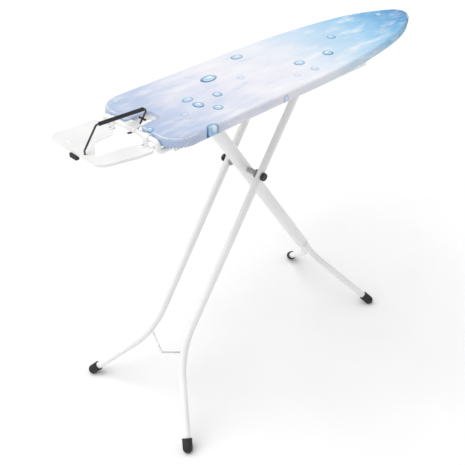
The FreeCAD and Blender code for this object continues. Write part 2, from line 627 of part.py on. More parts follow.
# ---------------------------------------------------------------- scissor axle, spacers and caps
AXLE_HALF = "(Places.slim_half + Places.slim_radius + Sizes.free_gap)"
PIVOT = ("0", "-Sizes.hinge_to_pivot")
node("scissor_axle", bar("scissor_axle", ("0", f"-{AXLE_HALF} - Sizes.axle_cap_length / 2", PIVOT[1]),
                         "Places.axle_radius", f"2 * {AXLE_HALF} + Sizes.axle_cap_length", "y", main_frame))
SPACER_START = "(Places.main_radius + Sizes.spacer_gap)"
SPACER_LENGTH = f"(Places.slim_half - Places.slim_radius - Sizes.free_gap - {SPACER_START})"
for side, side_name in SIDE_NAMES.items():
    low_y = SPACER_START if side > 0 else f"-{SPACER_START} - {SPACER_LENGTH}"
    disc_y = "Places.slim_half - Places.slim_radius - Sizes.free_gap - Sizes.spacer_disc"
    disc_low = disc_y if side > 0 else f"-({disc_y}) - Sizes.spacer_disc"
    tube = bar("spacer", ("0", low_y, PIVOT[1]), "Places.axle_radius + Sizes.spacer_wall", SPACER_LENGTH, "y", main_frame)
    disc = bar("spacer_disc", ("0", disc_low, PIVOT[1]), "Sizes.spacer_diameter / 2", "Sizes.spacer_disc", "y",
               main_frame)
    bore = bar("spacer_bore", ("0", "-Sizes.slim_gap", PIVOT[1]), "Places.axle_radius", "2 * Sizes.slim_gap", "y",
               main_frame)
    node(f"pivot_spacer_{side_name}", cut("pivot_spacer", join("pivot_spacer_body", tube, disc), bore))
    cap_low = AXLE_HALF if side > 0 else f"-{AXLE_HALF} - Sizes.axle_cap_length"
    cap = bar("axle_cap", ("0", cap_low, PIVOT[1]), "Sizes.axle_cap_diameter / 2", "Sizes.axle_cap_length", "y",
              main_frame)
    rounded = doc.addObject("Part::Fillet", unique("axle_cap_rounded"))
    rounded.Base = cap
    doc.recompute()
    outer_y = max(side * vertex.Y for vertex in cap.Shape.Vertexes) - 0.01
    rim = [index + 1 for index, edge in enumerate(cap.Shape.Edges)
           if edge.Closed and side * edge.CenterOfMass.y > outer_y]
    rounding = size("axle_cap_rounding")
    rounded.Edges = [(index, rounding, rounding) for index in rim]
    cap_bore = bar("axle_cap_bore", ("0", f"-{AXLE_HALF} - Sizes.axle_cap_length / 2", PIVOT[1]),
                   "Places.axle_radius", f"2 * {AXLE_HALF} + Sizes.axle_cap_length", "y", main_frame)
    node(f"axle_cap_{side_name}", cut("axle_cap", rounded, cap_bore))

# ---------------------------------------------------------------- sliding top rod
ROD_HALF = "(Sizes.rail_inset + Sizes.plate_thick + Sizes.rod_over)"
node("slide_rod", bar("slide_rod", ("Places.slide_px", f"-{ROD_HALF}", "Places.hinge_pz"),
                      "Places.axle_radius", f"2 * {ROD_HALF}", "y"))
BUSH_START = "(Sizes.rail_inset + Sizes.plate_thick / 2 - Sizes.bush_width / 2)"
for side, side_name in SIDE_NAMES.items():
    pieces = []
    for low, radius, width in (
            (BUSH_START, "Sizes.bush_diameter / 2", "Sizes.bush_width"),
            ("(Sizes.rail_inset - Sizes.free_gap - 3)", "Sizes.bush_diameter / 2 + 3", "3")):
        low_y = low if side > 0 else f"-{low} - {width}"
        pieces.append(bar("bush", ("Places.slide_px", low_y, "Places.hinge_pz"), radius, width, "y"))
    bore = bar("bush_bore", ("Places.slide_px", f"-{ROD_HALF}", "Places.hinge_pz"), "Places.axle_radius",
               f"2 * {ROD_HALF}", "y")
    node(f"slide_bush_{side_name}", cut("slide_bush", join("slide_bush_body", *pieces), bore))
    low = f"({BUSH_START} + Sizes.bush_width)"
    low_y = low if side > 0 else f"-{low} - Sizes.clip_width"
    clip = bar("rod_clip", ("Places.slide_px", low_y, "Places.hinge_pz"), "Sizes.clip_diameter / 2",
               "Sizes.clip_width", "y")
    clip_bore = bar("clip_bore", ("Places.slide_px", f"-{ROD_HALF}", "Places.hinge_pz"), "Places.axle_radius",
                    f"2 * {ROD_HALF}", "y")
    node(f"rod_clip_{side_name}", cut("rod_clip", clip, clip_bore))

# ---------------------------------------------------------------- brake on the slide
# Two cheeks hang the brake lever's pin above the sliding rod; the lever's cam presses a strip.
LOCK_Y = "(-Sizes.lock_side)"
CHEEKS = (f"{LOCK_Y} + Sizes.lock_gap / 2", f"{LOCK_Y} - Sizes.lock_gap / 2 - Sizes.plate_thick")
cheek_shapes = []
for low_y in CHEEKS:
    cheek_shapes.append(join(
        "cheek",
        bar("cheek_rod_end", ("Places.slide_px", low_y, "Places.hinge_pz"), "Places.axle_radius + 4",
            "Sizes.plate_thick", "y"),
        bar("cheek_pin_end", ("Places.lock_px", low_y, "Places.lock_pz"), "Sizes.lock_pin_diameter / 2 + 5",
            "Sizes.plate_thick", "y"),
        block("cheek_web", ("Places.lock_px - Sizes.lock_pin_diameter / 2", low_y, "Places.hinge_pz"),
              ("Sizes.lock_reach + Sizes.lock_pin_diameter / 2", "Sizes.plate_thick", "Sizes.lock_pin_rise"))))
cheek_tie = block(
    "cheek_tie", ("Places.slide_px - 4", CHEEKS[1], "Places.hinge_pz + Places.axle_radius + 1"),
    ("8", "Sizes.lock_gap + 2 * Sizes.plate_thick", "Sizes.plate_thick"))
rod_bore = bar("rod_bore", ("Places.slide_px", "-Sizes.slim_gap / 2", "Places.hinge_pz"), "Places.axle_radius",
               "Sizes.slim_gap", "y")
lock_pin_bore = bar("lock_pin_bore", ("Places.lock_px", "-Sizes.slim_gap / 2", "Places.lock_pz"),
                    "Sizes.lock_pin_diameter / 2", "Sizes.slim_gap", "y")
node("brake_bracket", cut("brake_bracket", join("brake_bracket_body", *cheek_shapes, cheek_tie),
                          rod_bore, lock_pin_bore))
LOCK_PIN_START = f"({CHEEKS[1]} - 1.5)"
lock_shank = bar("lock_shank", ("Places.lock_px", LOCK_PIN_START, "Places.lock_pz"), "Sizes.lock_pin_diameter / 2",
                 "Sizes.lock_gap + 2 * Sizes.plate_thick + 3", "y")
lock_heads = [
    bar("lock_head", ("Places.lock_px", low_y, "Places.lock_pz"), "Sizes.lock_pin_diameter * 0.8", "1.5", "y")
    for low_y in (LOCK_PIN_START, f"{CHEEKS[0]} + Sizes.plate_thick")]
node("brake_pin", join("brake_pin", lock_shank, *lock_heads))

node("brake_strip", block(
    "brake_strip",
    (f"{RAIL_START} - Sizes.lock_reach", f"{LOCK_Y} - Sizes.strip_width / 2", "Places.strip_under"),
    (f"{RAIL_LENGTH} + Sizes.lock_reach", "Sizes.strip_width", "Places.sheet_under - Places.strip_under")))

LEVER_HALF = "(Sizes.lever_width / 2)"
cam = bar("cam", ("Places.lock_px + Sizes.cam_throw", f"{LOCK_Y} - {LEVER_HALF}", "Places.lock_pz"),
          "Sizes.cam_radius", "Sizes.lever_width", "y")
lever_arm = block(
    "lever_arm",
    ("Places.lock_px - Sizes.lever_length", f"{LOCK_Y} - {LEVER_HALF}",
     "Places.lock_pz - Sizes.lever_depth / 2 - Sizes.lever_drop"),
    ("Sizes.lever_length", "Sizes.lever_width", "Sizes.lever_depth"))
lever_bore = bar("lever_bore", ("Places.lock_px", f"{LOCK_Y} - Sizes.lever_width", "Places.lock_pz"),
                 "Sizes.lock_pin_diameter / 2 + Sizes.running_gap", "2 * Sizes.lever_width", "y")
node("brake_lever", cut("brake_lever", join("brake_lever_body", cam, lever_arm), lever_bore))
grip_blank = block(
    "grip_blank",
    ("Places.lock_px - Sizes.lever_length - Sizes.grip_over", f"{LOCK_Y} - Sizes.grip_thick / 2",
     "Places.lock_pz - Sizes.lever_drop - Sizes.grip_thick / 2"),
    ("Sizes.grip_length", "Sizes.grip_thick", "Sizes.grip_thick"))
grip_round = doc.addObject("Part::Fillet", unique("grip_round"))
grip_round.Base = grip_blank
doc.recompute()
grip_radius = size("grip_rounding")
grip_round.Edges = [(index + 1, grip_radius, grip_radius) for index in range(len(grip_blank.Shape.Edges))]
grip_hollow = block(
    "grip_hollow",
    ("Places.lock_px - Sizes.lever_length", f"{LOCK_Y} - {LEVER_HALF}",
     "Places.lock_pz - Sizes.lever_depth / 2 - Sizes.lever_drop"),
    ("Sizes.lever_length", "Sizes.lever_width", "Sizes.lever_depth"))
node("brake_grip", cut("brake_grip", grip_round, grip_hollow))


def torsion_spring():
    """Two turns of wire round the brake pin, between the lever and one cheek."""
    wire = size("spring_wire") / 2
    coil_radius = size("spring_radius")
    helix = Part.makeHelix(2.2 * wire, 2 * 2.2 * wire, coil_radius)
    ring = Part.Wire(Part.makeCircle(wire, FreeCAD.Vector(coil_radius, 0, 0), FreeCAD.Vector(0, 1, 0)))
    return Part.Wire(helix).makePipeShell([ring], True, True)


spring = held("brake_spring", torsion_spring())
put(spring, ("Places.lock_px", f"{LOCK_Y} - {LEVER_HALF} - Sizes.spring_wire * 0.7", "Places.lock_pz"), "1; 0; 0", "90")
node("brake_spring", spring)

# ---------------------------------------------------------------- channels that stiffen the sheet
for channel_name, channel_x in (("rear_channel", "Sizes.rear_channel_x"), ("front_channel", "Sizes.front_channel_x")):
    outside = block("channel_outside",
                    (f"Places.end_x + {channel_x}", "-Sizes.channel_span / 2", "Places.sheet_under - Sizes.channel_depth"),
                    ("Sizes.channel_width", "Sizes.channel_span", "Sizes.channel_depth"))
    hollow = block("channel_hollow",
                   (f"Places.end_x + {channel_x} + Sizes.top_sheet", "-Sizes.channel_span / 2 - 1",
                    "Places.sheet_under - Sizes.channel_depth + Sizes.top_sheet"),
                   ("Sizes.channel_width - 2 * Sizes.top_sheet", "Sizes.channel_span + 2", "Sizes.channel_depth"))
    node(channel_name, cut(channel_name, outside, hollow))

# ---------------------------------------------------------------- cross tube that carries the iron tray
def cross_path():
    half = place_of("cross_half")
    front_x = place_of("cross_px")
    back_x = place_of("end_x") + size("cross_leg_reach")
    high = place_of("cross_pz")
    low = place_of("cross_leg_pz")
    corners = [(back_x, -half, low), (front_x, -half, low), (front_x, -half, high),
               (front_x, half, high), (front_x, half, low), (back_x, half, low)]
    return rounded_path([FreeCAD.Vector(*corner) for corner in corners], size("cross_bend"))


cross_line = cross_path()
cross_outer = held("cross_outer", swept(cross_line, place_of("cross_radius")))
cross_inner = held("cross_inner", swept(cross_line, place_of("cross_radius") - size("cross_wall")))
node("cross_tube", cut("cross_tube", cross_outer, cross_inner))

saddles = []
saddle_screws = []
for side in (1, -1):
    for start in ("Sizes.saddle_front_x", "Sizes.saddle_rear_x"):
        out_y = "Places.cross_half + Places.cross_radius + Sizes.saddle_wall"
        in_y = "Places.tongue_inner - Sizes.saddle_over"
        foot_y = "Places.saddle_inner"
        low_z = "Places.cross_leg_pz - Places.cross_radius - Sizes.saddle_wall"
        block_y = foot_y if side > 0 else f"-({out_y})"
        ledge_y = in_y if side > 0 else f"-({foot_y})"
        body = block("saddle_block", (f"Places.end_x + {start}", block_y, low_z),
                     ("Sizes.saddle_length", f"{out_y} - ({foot_y})", f"Places.sheet_under - ({low_z})"))
        ledge_z = "Places.tray_top + Sizes.stop_gap"
        ledge = block("saddle_ledge", (f"Places.end_x + {start}", ledge_y, ledge_z),
                      ("Sizes.saddle_length", f"{foot_y} - ({in_y})", f"Places.sheet_under - ({ledge_z})"))
        bore = bar("saddle_bore", (f"Places.end_x + {start} - 1", f"{side} * Places.cross_half",
                                   "Places.cross_leg_pz"), "Places.cross_radius", "Sizes.saddle_length + 2", "x")
        saddles.append(cut("saddle", join("saddle_body", body, ledge), bore))
        saddle_screws.append(bar(
            "saddle_screw",
            (f"Places.end_x + {start} + Sizes.saddle_length / 2", f"{side} * Places.cross_half",
             f"{low_z} - Sizes.rivet_head_height"),
            "Sizes.rivet_head / 2", "Sizes.rivet_head_height"))
node("tube_saddles", together("tube_saddles", saddles))
node("saddle_screws", together("saddle_screws", saddle_screws))

# ---------------------------------------------------------------- iron tray
# Corners are counted from the wide end: a broad far plate, a narrow near arm, and a strip
# behind them; the gap between them is open towards the cross tube.
TRAY_OUTLINE = [
    (-153, 122), (-155, -54), (-143, -68), (-129, -74), (-100, -81), (-66, -91), (-26, -97), (-20, -94), (-14, -93),
    (-14, -79), (-14, -55), (-34, -48), (-64, -38), (-97, -32), (-137, -29), (-96, 30), (-46, 32),
    (-33, 37), (-27, 50), (-14, 55), (-14, 92), (-20, 94), (-20, 110), (-22, 126), (-63, 128), (-101, 134), (-138, 137)]
TONGUE_NEAR = TRAY_OUTLINE.index((-14, -79))
TONGUE_FAR = TRAY_OUTLINE.index((-14, 92))


def tray_outline():
    """The tray's outline with its two stop tongues, which reach in under the board."""
    reach = size("tongue_reach")
    inner = place_of("tongue_inner")
    outer = inner + size("tongue_width")
    rear = -14
    outline_points = []
    for index, (x, y) in enumerate(TRAY_OUTLINE):
        if index == TONGUE_NEAR:
            outline_points += [(rear, -outer), (reach, -outer), (reach, -inner), (rear, -inner)]
        elif index == TONGUE_FAR:
            outline_points += [(rear, inner), (reach, inner), (reach, outer), (rear, outer)]
        else:
            outline_points.append((x, y))
    corners = [FreeCAD.Vector(x, y, 0) for x, y in outline_points]
    return Part.Face(Part.makePolygon(corners + corners[:1]))


def tray_panel():
    """Sheet with a down-turned rim along its rear and outer edges, and a narrow pressed slot."""
    sheet = size("tray_sheet")
    rim = size("tray_rim")
    plate = tray_outline().extrude(FreeCAD.Vector(0, 0, -sheet))
    round_off = [edge for edge in plate.Edges if abs(edge.Vertexes[0].Z - edge.Vertexes[-1].Z) > sheet / 2
                 and edge.Vertexes[0].X < -20]
    plate = plate.makeFillet(4, round_off)
    rim_line = [(-20, -94), (-26, -97), (-66, -91), (-100, -81), (-129, -74), (-143, -68), (-155, -54),
                (-153, 122), (-138, 137), (-101, 134), (-63, 128), (-22, 126)]
    points = [FreeCAD.Vector(x, y, 0) for x, y in rim_line]
    line = rounded_path(points, 4)
    strip = Part.Face(Part.Wire(Part.__sortEdges__(strip_edges(line, sheet))))
    flange = strip.extrude(FreeCAD.Vector(0, 0, -rim))
    slot = Part.makeBox(3, 34, 4 * sheet, FreeCAD.Vector(-138, 64, -2 * sheet))
    slot.rotate(FreeCAD.Vector(-136, 81, 0), FreeCAD.Vector(0, 0, 1), -14)
    return plate.fuse(flange).removeSplitter().cut(slot)


def strip_edges(line, thickness):
    """The closed outline of a strip of one thickness on the inner side of an open line."""
    inner = line.makeOffset2D(-thickness, 0, False, True, False)
    ends = []
    for near, far in ((line.Vertexes[0], inner.Vertexes[0]), (line.Vertexes[-1], inner.Vertexes[-1])):
        ends.append(Part.LineSegment(near.Point, far.Point).toShape())
    return line.Edges + inner.Edges + ends


tray = held("tray_panel", tray_panel())
put(tray, ("Places.end_x", "0", "Places.tray_top"))
node("tray_panel", tray)

lugs = []
lug_rivets = []
for side in (1, -1):
    low_y = f"{side} * Sizes.lug_side - Sizes.lug_width / 2"
    LUG_RADIUS = "(Places.cross_radius + Sizes.running_gap + Sizes.lug_thick)"
    curl = bar("lug_curl", ("Places.cross_px", low_y, "Places.cross_pz"), LUG_RADIUS, "Sizes.lug_width", "y")
    web = block("lug_web", (f"Places.cross_px - {LUG_RADIUS}", low_y, "Places.tray_top"),
                ("Sizes.lug_thick", "Sizes.lug_width", "Places.cross_pz - Places.tray_top"))
    foot = block("lug_foot", (f"Places.cross_px - {LUG_RADIUS} - Sizes.lug_foot", low_y, "Places.tray_top"),
                 ("Sizes.lug_foot + Sizes.lug_thick", "Sizes.lug_width", "Sizes.lug_thick"))
    tube_bore = bar("lug_bore", ("Places.cross_px", f"{low_y} - 1", "Places.cross_pz"),
                    "Places.cross_radius + Sizes.running_gap", "Sizes.lug_width + 2", "y")
    lugs.append(cut("lug", join("lug_body", curl, web, foot), tube_bore))
    lug_rivets.append(bar("lug_rivet", (f"Places.cross_px - {LUG_RADIUS} - Sizes.lug_foot / 2", f"{side} * Sizes.lug_side",
                                        "Places.tray_top + Sizes.lug_thick"),
                          "Sizes.rivet_diameter / 2 + 0.5", "Sizes.rivet_head_height"))
node("tray_lugs", together("tray_lugs", lugs))
node("lug_rivets", together("lug_rivets", lug_rivets))


def rest_wire():
    """The wire the iron leans on: up from the tray, along over the gap, down through the notch."""
    top = size("board_height")
    tray_height = place_of("tray_top")
    end = place_of("end_x")
    hook_z = place_of("cross_pz") - 12.5
    corners = [(-146, tray_height), (-146, tray_height + 10), (size("bar_rear_x") - 4, top + size("bar_rear_rise")),
               (size("bar_front_x") + 5, top + size("bar_front_rise")), (7, hook_z - 2), (-19, hook_z + 3)]
    points = [FreeCAD.Vector(end + x, 0, z) for x, z in corners]
    return rounded_path(points, 7), points


rest_line, rest_corners = rest_wire()
node("rest_wire", held("rest_wire", swept(rest_line, size("wire_diameter") / 2)))


def on_wire(start, finish, radius, bore):
    """A round sleeve between two points of the wire, bored for it."""
    along = finish - start
    sleeve = Part.makeCylinder(radius, along.Length, start, along)
    return sleeve.cut(Part.makeCylinder(bore, along.Length, start, along))


bar_run = rest_corners[3] - rest_corners[2]
bar_direction = FreeCAD.Vector(bar_run).normalize()
sleeve_start = rest_corners[2] + bar_direction * 9
sleeve_finish = rest_corners[3] - bar_direction * 14
node("rest_sleeve", held("rest_sleeve", on_wire(sleeve_start, sleeve_finish, size("sleeve_diameter") / 2,
                                                size("wire_diameter") / 2)))
drop_run = rest_corners[4] - rest_corners[3]
drop_direction = FreeCAD.Vector(drop_run).normalize()
ring_start = rest_corners[3] + drop_direction * (drop_run.Length * 0.42)
node("rest_collar", held("rest_collar", on_wire(ring_start, ring_start + drop_direction * size("ring_wire"),
                                                size("ring_diameter") / 2, size("wire_diameter") / 2)))

# ---------------------------------------------------------------- guide over the cross tube, in the notch
GUIDE_RADIUS = "(Places.cross_radius + Sizes.guide_sheet)"
guide_ring = bar("guide_ring", ("Places.cross_px", "-Sizes.guide_width / 2", "Places.cross_pz"), GUIDE_RADIUS,
                 "Sizes.guide_width", "y")
guide_flange = block("guide_flange", ("Places.cross_px", "-Sizes.guide_width / 2",
                                      "Places.cross_pz + Places.cross_radius"),
                     (f"{GUIDE_RADIUS} + Sizes.guide_flange", "Sizes.guide_width", "Sizes.guide_sheet"))
guide_bore = bar("guide_bore", ("Places.cross_px", "-Sizes.guide_width", "Places.cross_pz"), "Places.cross_radius",
                 "2 * Sizes.guide_width", "y")
guide_below = block("guide_below", (f"Places.cross_px - 2 * {GUIDE_RADIUS}", "-Sizes.guide_width",
                                    "Places.cross_pz - 2 * Places.cross_radius"),
                    (f"4 * {GUIDE_RADIUS}", "2 * Sizes.guide_width", "2 * Places.cross_radius"))
guide_slot = block("guide_slot", (f"Places.cross_px + {GUIDE_RADIUS} + Sizes.guide_flange / 3",
                                  "-Sizes.guide_slot / 2", "Places.cross_pz"),
                   ("Sizes.guide_slot_width", "Sizes.guide_slot", "2 * Places.cross_radius"))
guide_body = join("bar_guide_body", guide_ring, guide_flange)
node("bar_guide", cut("bar_guide", guide_body, guide_bore, guide_below, guide_slot))

# ---------------------------------------------------------------- buffer under the tray's rear edge
BUFFER_X = "(Places.end_x - Sizes.rear_reach)"
BUFFER_Y = "(Sizes.buffer_side - Sizes.buffer_width / 2)"
BUFFER_LOW = "(Places.tray_top - Sizes.tray_rim - Sizes.free_gap - Sizes.buffer_height)"
node("buffer_bracket", join(
    "buffer_bracket",
    block("buffer_plate", (f"{BUFFER_X} + Sizes.buffer_thick", BUFFER_Y, BUFFER_LOW),
          ("Sizes.tray_sheet", "Sizes.buffer_width", f"Places.tray_under - {BUFFER_LOW}")),
    block("buffer_shelf", (f"{BUFFER_X} + Sizes.buffer_thick", BUFFER_Y, "Places.tray_under - Sizes.tray_sheet"),
          ("Sizes.buffer_width / 2", "Sizes.buffer_width", "Sizes.tray_sheet"))))
node("tray_buffer", block("tray_buffer", (BUFFER_X, BUFFER_Y, BUFFER_LOW),
                          ("Sizes.buffer_thick", "Sizes.buffer_width", "Sizes.buffer_height")))

# ---------------------------------------------------------------- check and write
doc.recompute()
SOLIDS = {"sheet_rim": 2 * len(RIM_LENGTHS), "underside_rivets": 10, "tube_saddles": 4, "saddle_screws": 4,
          "tray_lugs": 2, "lug_rivets": 2}
for item in doc.Objects:
    if "Invalid" in item.State or "Error" in item.State:
        raise RuntimeError(f"{item.Label} did not build: {item.State}")
for label, item in nodes.items():
    shape = item.Shape
    if shape.isNull() or not shape.isValid():
        raise RuntimeError(f"{label} has no valid shape")
    wanted = SOLIDS.get(label, 1)
    if len(shape.Solids) != wanted:
        raise RuntimeError(f"{label} has {len(shape.Solids)} solids, not {wanted}")

os.makedirs("parts", exist_ok=True)
for label, item in nodes.items():
    item.Shape.exportStep(f"parts/{label}.step")
print(f"wrote {len(nodes)} parts")
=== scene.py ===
# %% [markdown]
# # A folding ironing board
#
# A folding ironing board is a padded top on a scissor of bent steel tubes. The stand, the
# hinges and the iron tray were modelled as solids in a CAD program, and they are loaded
# here as a fixed frame. This lesson gives them their finishes and makes what a solid
# modeller can't: the cloth cover with its gathers, the felt under it, and the small
# moulded and pressed details. Everything is in metres, with +X from the wide end to the
# nose, +Y across the board and +Z up, so a piece goes where the frame says.

# %% Load the frame
import json
import math

import bmesh
import bpy
import numpy as np
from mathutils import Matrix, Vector
from mathutils.kdtree import KDTree

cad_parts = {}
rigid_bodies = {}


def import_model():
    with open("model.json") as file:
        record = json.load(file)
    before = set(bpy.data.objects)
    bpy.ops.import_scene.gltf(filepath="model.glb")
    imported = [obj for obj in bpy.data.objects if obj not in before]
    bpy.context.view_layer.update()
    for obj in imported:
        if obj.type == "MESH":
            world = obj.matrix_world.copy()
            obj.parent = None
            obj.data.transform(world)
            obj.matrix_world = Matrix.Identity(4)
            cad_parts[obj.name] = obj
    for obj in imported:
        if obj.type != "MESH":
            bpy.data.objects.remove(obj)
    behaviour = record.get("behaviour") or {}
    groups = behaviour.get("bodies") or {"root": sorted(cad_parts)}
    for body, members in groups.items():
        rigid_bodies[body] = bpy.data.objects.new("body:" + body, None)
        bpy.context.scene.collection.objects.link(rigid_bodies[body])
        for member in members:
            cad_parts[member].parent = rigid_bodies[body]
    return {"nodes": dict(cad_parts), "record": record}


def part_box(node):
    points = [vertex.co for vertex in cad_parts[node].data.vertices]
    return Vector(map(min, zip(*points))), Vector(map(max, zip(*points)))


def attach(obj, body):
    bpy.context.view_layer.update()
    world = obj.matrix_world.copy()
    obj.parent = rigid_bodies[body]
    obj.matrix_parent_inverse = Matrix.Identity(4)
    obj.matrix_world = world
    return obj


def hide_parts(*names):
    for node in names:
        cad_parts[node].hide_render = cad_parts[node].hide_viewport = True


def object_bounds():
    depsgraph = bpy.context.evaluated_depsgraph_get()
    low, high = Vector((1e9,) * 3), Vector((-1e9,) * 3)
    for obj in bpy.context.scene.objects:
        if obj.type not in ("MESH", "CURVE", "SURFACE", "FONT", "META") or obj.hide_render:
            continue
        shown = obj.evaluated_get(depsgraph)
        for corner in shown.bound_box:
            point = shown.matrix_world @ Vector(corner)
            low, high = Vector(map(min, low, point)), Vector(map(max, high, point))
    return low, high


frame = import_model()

cad_low, cad_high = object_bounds()
scene = bpy.context.scene
MM = 0.001
print("frame", [round(value, 3) for value in (*cad_low, *cad_high)])

# %% [markdown]
# ## The camera
#
# A product picture is usually taken from above and to one side, so that the top, the
# tray and all four feet show. The camera could be aimed with a constraint, but typed
# angles are easier to read and to repeat: first the tilt from straight down, then the
# turn round the vertical. A long lens keeps the tubes nearly parallel.

# %% Camera
CAMERA_PLACE = (-1.510, -1.384, 1.827)
CAMERA_TILT = 54.9
CAMERA_TURN = -44.8
CAMERA_LENS = 61.8
CAMERA_SENSOR = 36

camera = bpy.data.objects.new("camera", bpy.data.cameras.new("camera"))
scene.collection.objects.link(camera)
camera.location = CAMERA_PLACE
camera.rotation_euler = (math.radians(CAMERA_TILT), 0, math.radians(CAMERA_TURN))
camera.data.lens = CAMERA_LENS
camera.data.sensor_width = CAMERA_SENSOR
scene.camera = camera
print("camera at", CAMERA_PLACE)

# %% [markdown]
# ## Floor and light
#
# A white product needs a pale floor and large soft lights, or its lit side melts into the
# backdrop. Lamps with a size and a place fall off towards the corners of a wide floor, so
# two very wide sun lamps stand for the softboxes: their light is even everywhere, and a
# wide angle keeps the shadows soft. The stronger one shines from above and from the left,
# so the right-hand flanks of the tubes stay grey, which is what makes them read as round.

# %% Floor
FLOOR_SIDE = 400.0


def select_only(*pieces):
    """Deselects everything, then selects these pieces; the first one is active."""
    for other in bpy.context.view_layer.objects:
        other.select_set(False)
    for piece in pieces:
        piece.select_set(True)
    bpy.context.view_layer.objects.active = pieces[0]


def new_piece(name):
    """Names the object that an operator has just added."""
    piece = bpy.context.view_layer.objects.active
    piece.name = name
    piece.data.name = name
    return piece


bpy.ops.object.select_all(action="DESELECT")
bpy.ops.mesh.primitive_plane_add(size=FLOOR_SIDE, location=(0, 0, cad_low.z))
floor = new_piece("floor")

# %% Lights
# Each light: where it shines from, its strength, and how wide its sky patch is in degrees.
LIGHTS = {
    "overhead": {"place": (-1.6, 0.9, 3.4), "strength": 2.3, "spread": 70},
    "side": {"place": (2.6, -1.6, 1.6), "strength": 0.35, "spread": 90},
}

for light_name, settings in LIGHTS.items():
    light_data = bpy.data.lights.new(light_name, "SUN")
    light_data.energy = settings["strength"]
    light_data.angle = math.radians(settings["spread"])
    light = bpy.data.objects.new(light_name, light_data)
    scene.collection.objects.link(light)
    light.location = settings["place"]
    light.rotation_euler = (-light.location).to_track_quat("-Z", "Y").to_euler()

WORLD_STRENGTH = 0.45
world = bpy.data.worlds.new("studio")
world.use_nodes = True
world.node_tree.nodes["Background"].inputs["Color"].default_value = (1.0, 1.0, 1.0, 1)
world.node_tree.nodes["Background"].inputs["Strength"].default_value = WORLD_STRENGTH
scene.world = world
scene.view_settings.view_transform = "Standard"
print("lights", len(LIGHTS))

# %% [markdown]
# ## Shader maths in Python
#
# A material is a graph of nodes. Dragging maths nodes about by hand is slow to read back,
# so one small class wraps a socket: adding or multiplying two wrapped sockets adds the
# Math node that does it. Colours and vectors never go through a Math node, because it
# turns a colour grey; they use Mix and Vector Math, through the one method `node`.

# %% The wrapper class
class Wire:
    """An output socket of a material's tree, with Python's operators as Math nodes."""

    def __init__(self, tree, socket=None):
        self.tree = tree
        self.socket = socket

    def node(self, kind, settings=None, sockets=None, out=0):
        """Adds a node: its settings first, then its sockets' values or links."""
        made = self.tree.nodes.new(kind)
        for field, value in (settings or {}).items():
            if field == "stops":
                for _ in range(len(value) - 2):
                    made.color_ramp.elements.new(0.5)
                for stop, (position, colour) in zip(made.color_ramp.elements, value):
                    stop.position = position
                    stop.color = colour
            else:
                setattr(made, field, value)
        for name, value in (sockets or {}).items():
            if isinstance(value, Wire):
                self.tree.links.new(value.socket, made.inputs[name])
            else:
                made.inputs[name].default_value = value
        return Wire(self.tree, made.outputs[out])

    def maths(self, operation, *values):
        return self.node("ShaderNodeMath", {"operation": operation}, dict(enumerate(values)))

    def __add__(self, other):
        return self.maths("ADD", self, other)

    __radd__ = __add__

    def __sub__(self, other):
        return self.maths("SUBTRACT", self, other)

    def __rsub__(self, other):
        return self.maths("SUBTRACT", other, self)

    def __mul__(self, other):
        return self.maths("MULTIPLY", self, other)

    __rmul__ = __mul__

    def __truediv__(self, other):
        return self.maths("DIVIDE", self, other)

    def band(self, low, high):
        """0 below low and 1 above high, smooth between; low may be the larger one."""
        return self.node("ShaderNodeMapRange", {"interpolation_type": "SMOOTHSTEP"},
                         {"Value": self, "From Min": low, "From Max": high})

    def tint(self, below, above):
        """A colour or link for 0 and one for 1, mixed by this value."""
        return self.node("ShaderNodeMix", {"data_type": "RGBA"}, {0: self, 6: below, 7: above}, out=2)


def noise(tree_wire, where, scale, detail=3.0, rough=0.5):
    return tree_wire.node("ShaderNodeTexNoise", {}, {"Vector": where, "Scale": scale, "Detail": detail,
                                                     "Roughness": rough})


# %% [markdown]
# Every finish below starts the same way: an empty material, one Principled shader whose
# constant values are set on its own sockets, and Object coordinates for the pattern. What
# differs from one finish to the next is then only its colours and its bump.

# %% Starting a material
def begin(name, colour, **constants):
    """A material with one Principled shader, a wire for its maths, and the place on the piece."""
    material = bpy.data.materials.new(name)
    material.use_nodes = True
    tree = material.node_tree
    shader = tree.nodes["Principled BSDF"]
    shader.inputs["Base Color"].default_value = (*colour, 1)
    for socket, value in constants.items():
        shader.inputs[socket.replace("_", " ")].default_value = value
    wire = Wire(tree)
    where = wire.node("ShaderNodeTexCoord", out=3)
    return material, wire, where


def drive(material, **links):
    """Links wires to the Principled shader's sockets, such as Base_Color or Roughness."""
    shader = material.node_tree.nodes["Principled BSDF"]
    for socket, value in links.items():
        material.node_tree.links.new(value.socket, shader.inputs[socket.replace("_", " ")])


def bump(wire, height, distance, strength=1.0, under=None):
    """A Bump node over a height; the distance is how far the surface really stands, in metres."""
    sockets = {"Height": height, "Distance": distance, "Strength": strength}
    if under is not None:
        sockets["Normal"] = under
    return wire.node("ShaderNodeBump", {}, sockets)


# %% [markdown]
# ### Floor finish
#
# The floor is a sheet of pale studio card. It has next to no shine, and a very faint
# mottling keeps it from looking empty.

# %% Floor material
floor_finish, wire, where = begin("studio_card", (0.9, 0.9, 0.9), Roughness=0.85)
mottle = noise(wire, where, 3.0).band(0.3, 0.7)
drive(floor_finish, Base_Color=mottle.tint((0.90, 0.90, 0.90, 1), (0.92, 0.92, 0.92, 1)))
floor.data.materials.append(floor_finish)

# %% [markdown]
# ### White powder coat
#
# The tubes, rails and tray are powder coated: paint is sprayed on dry and baked, which
# leaves an even white skin with a fine "orange peel" and a soft gloss. It could be a plain
# white shader with a coat, but then every highlight is a clean line. Two sizes of noise
# make the peel, and a slow noise varies the gloss, as baking does.

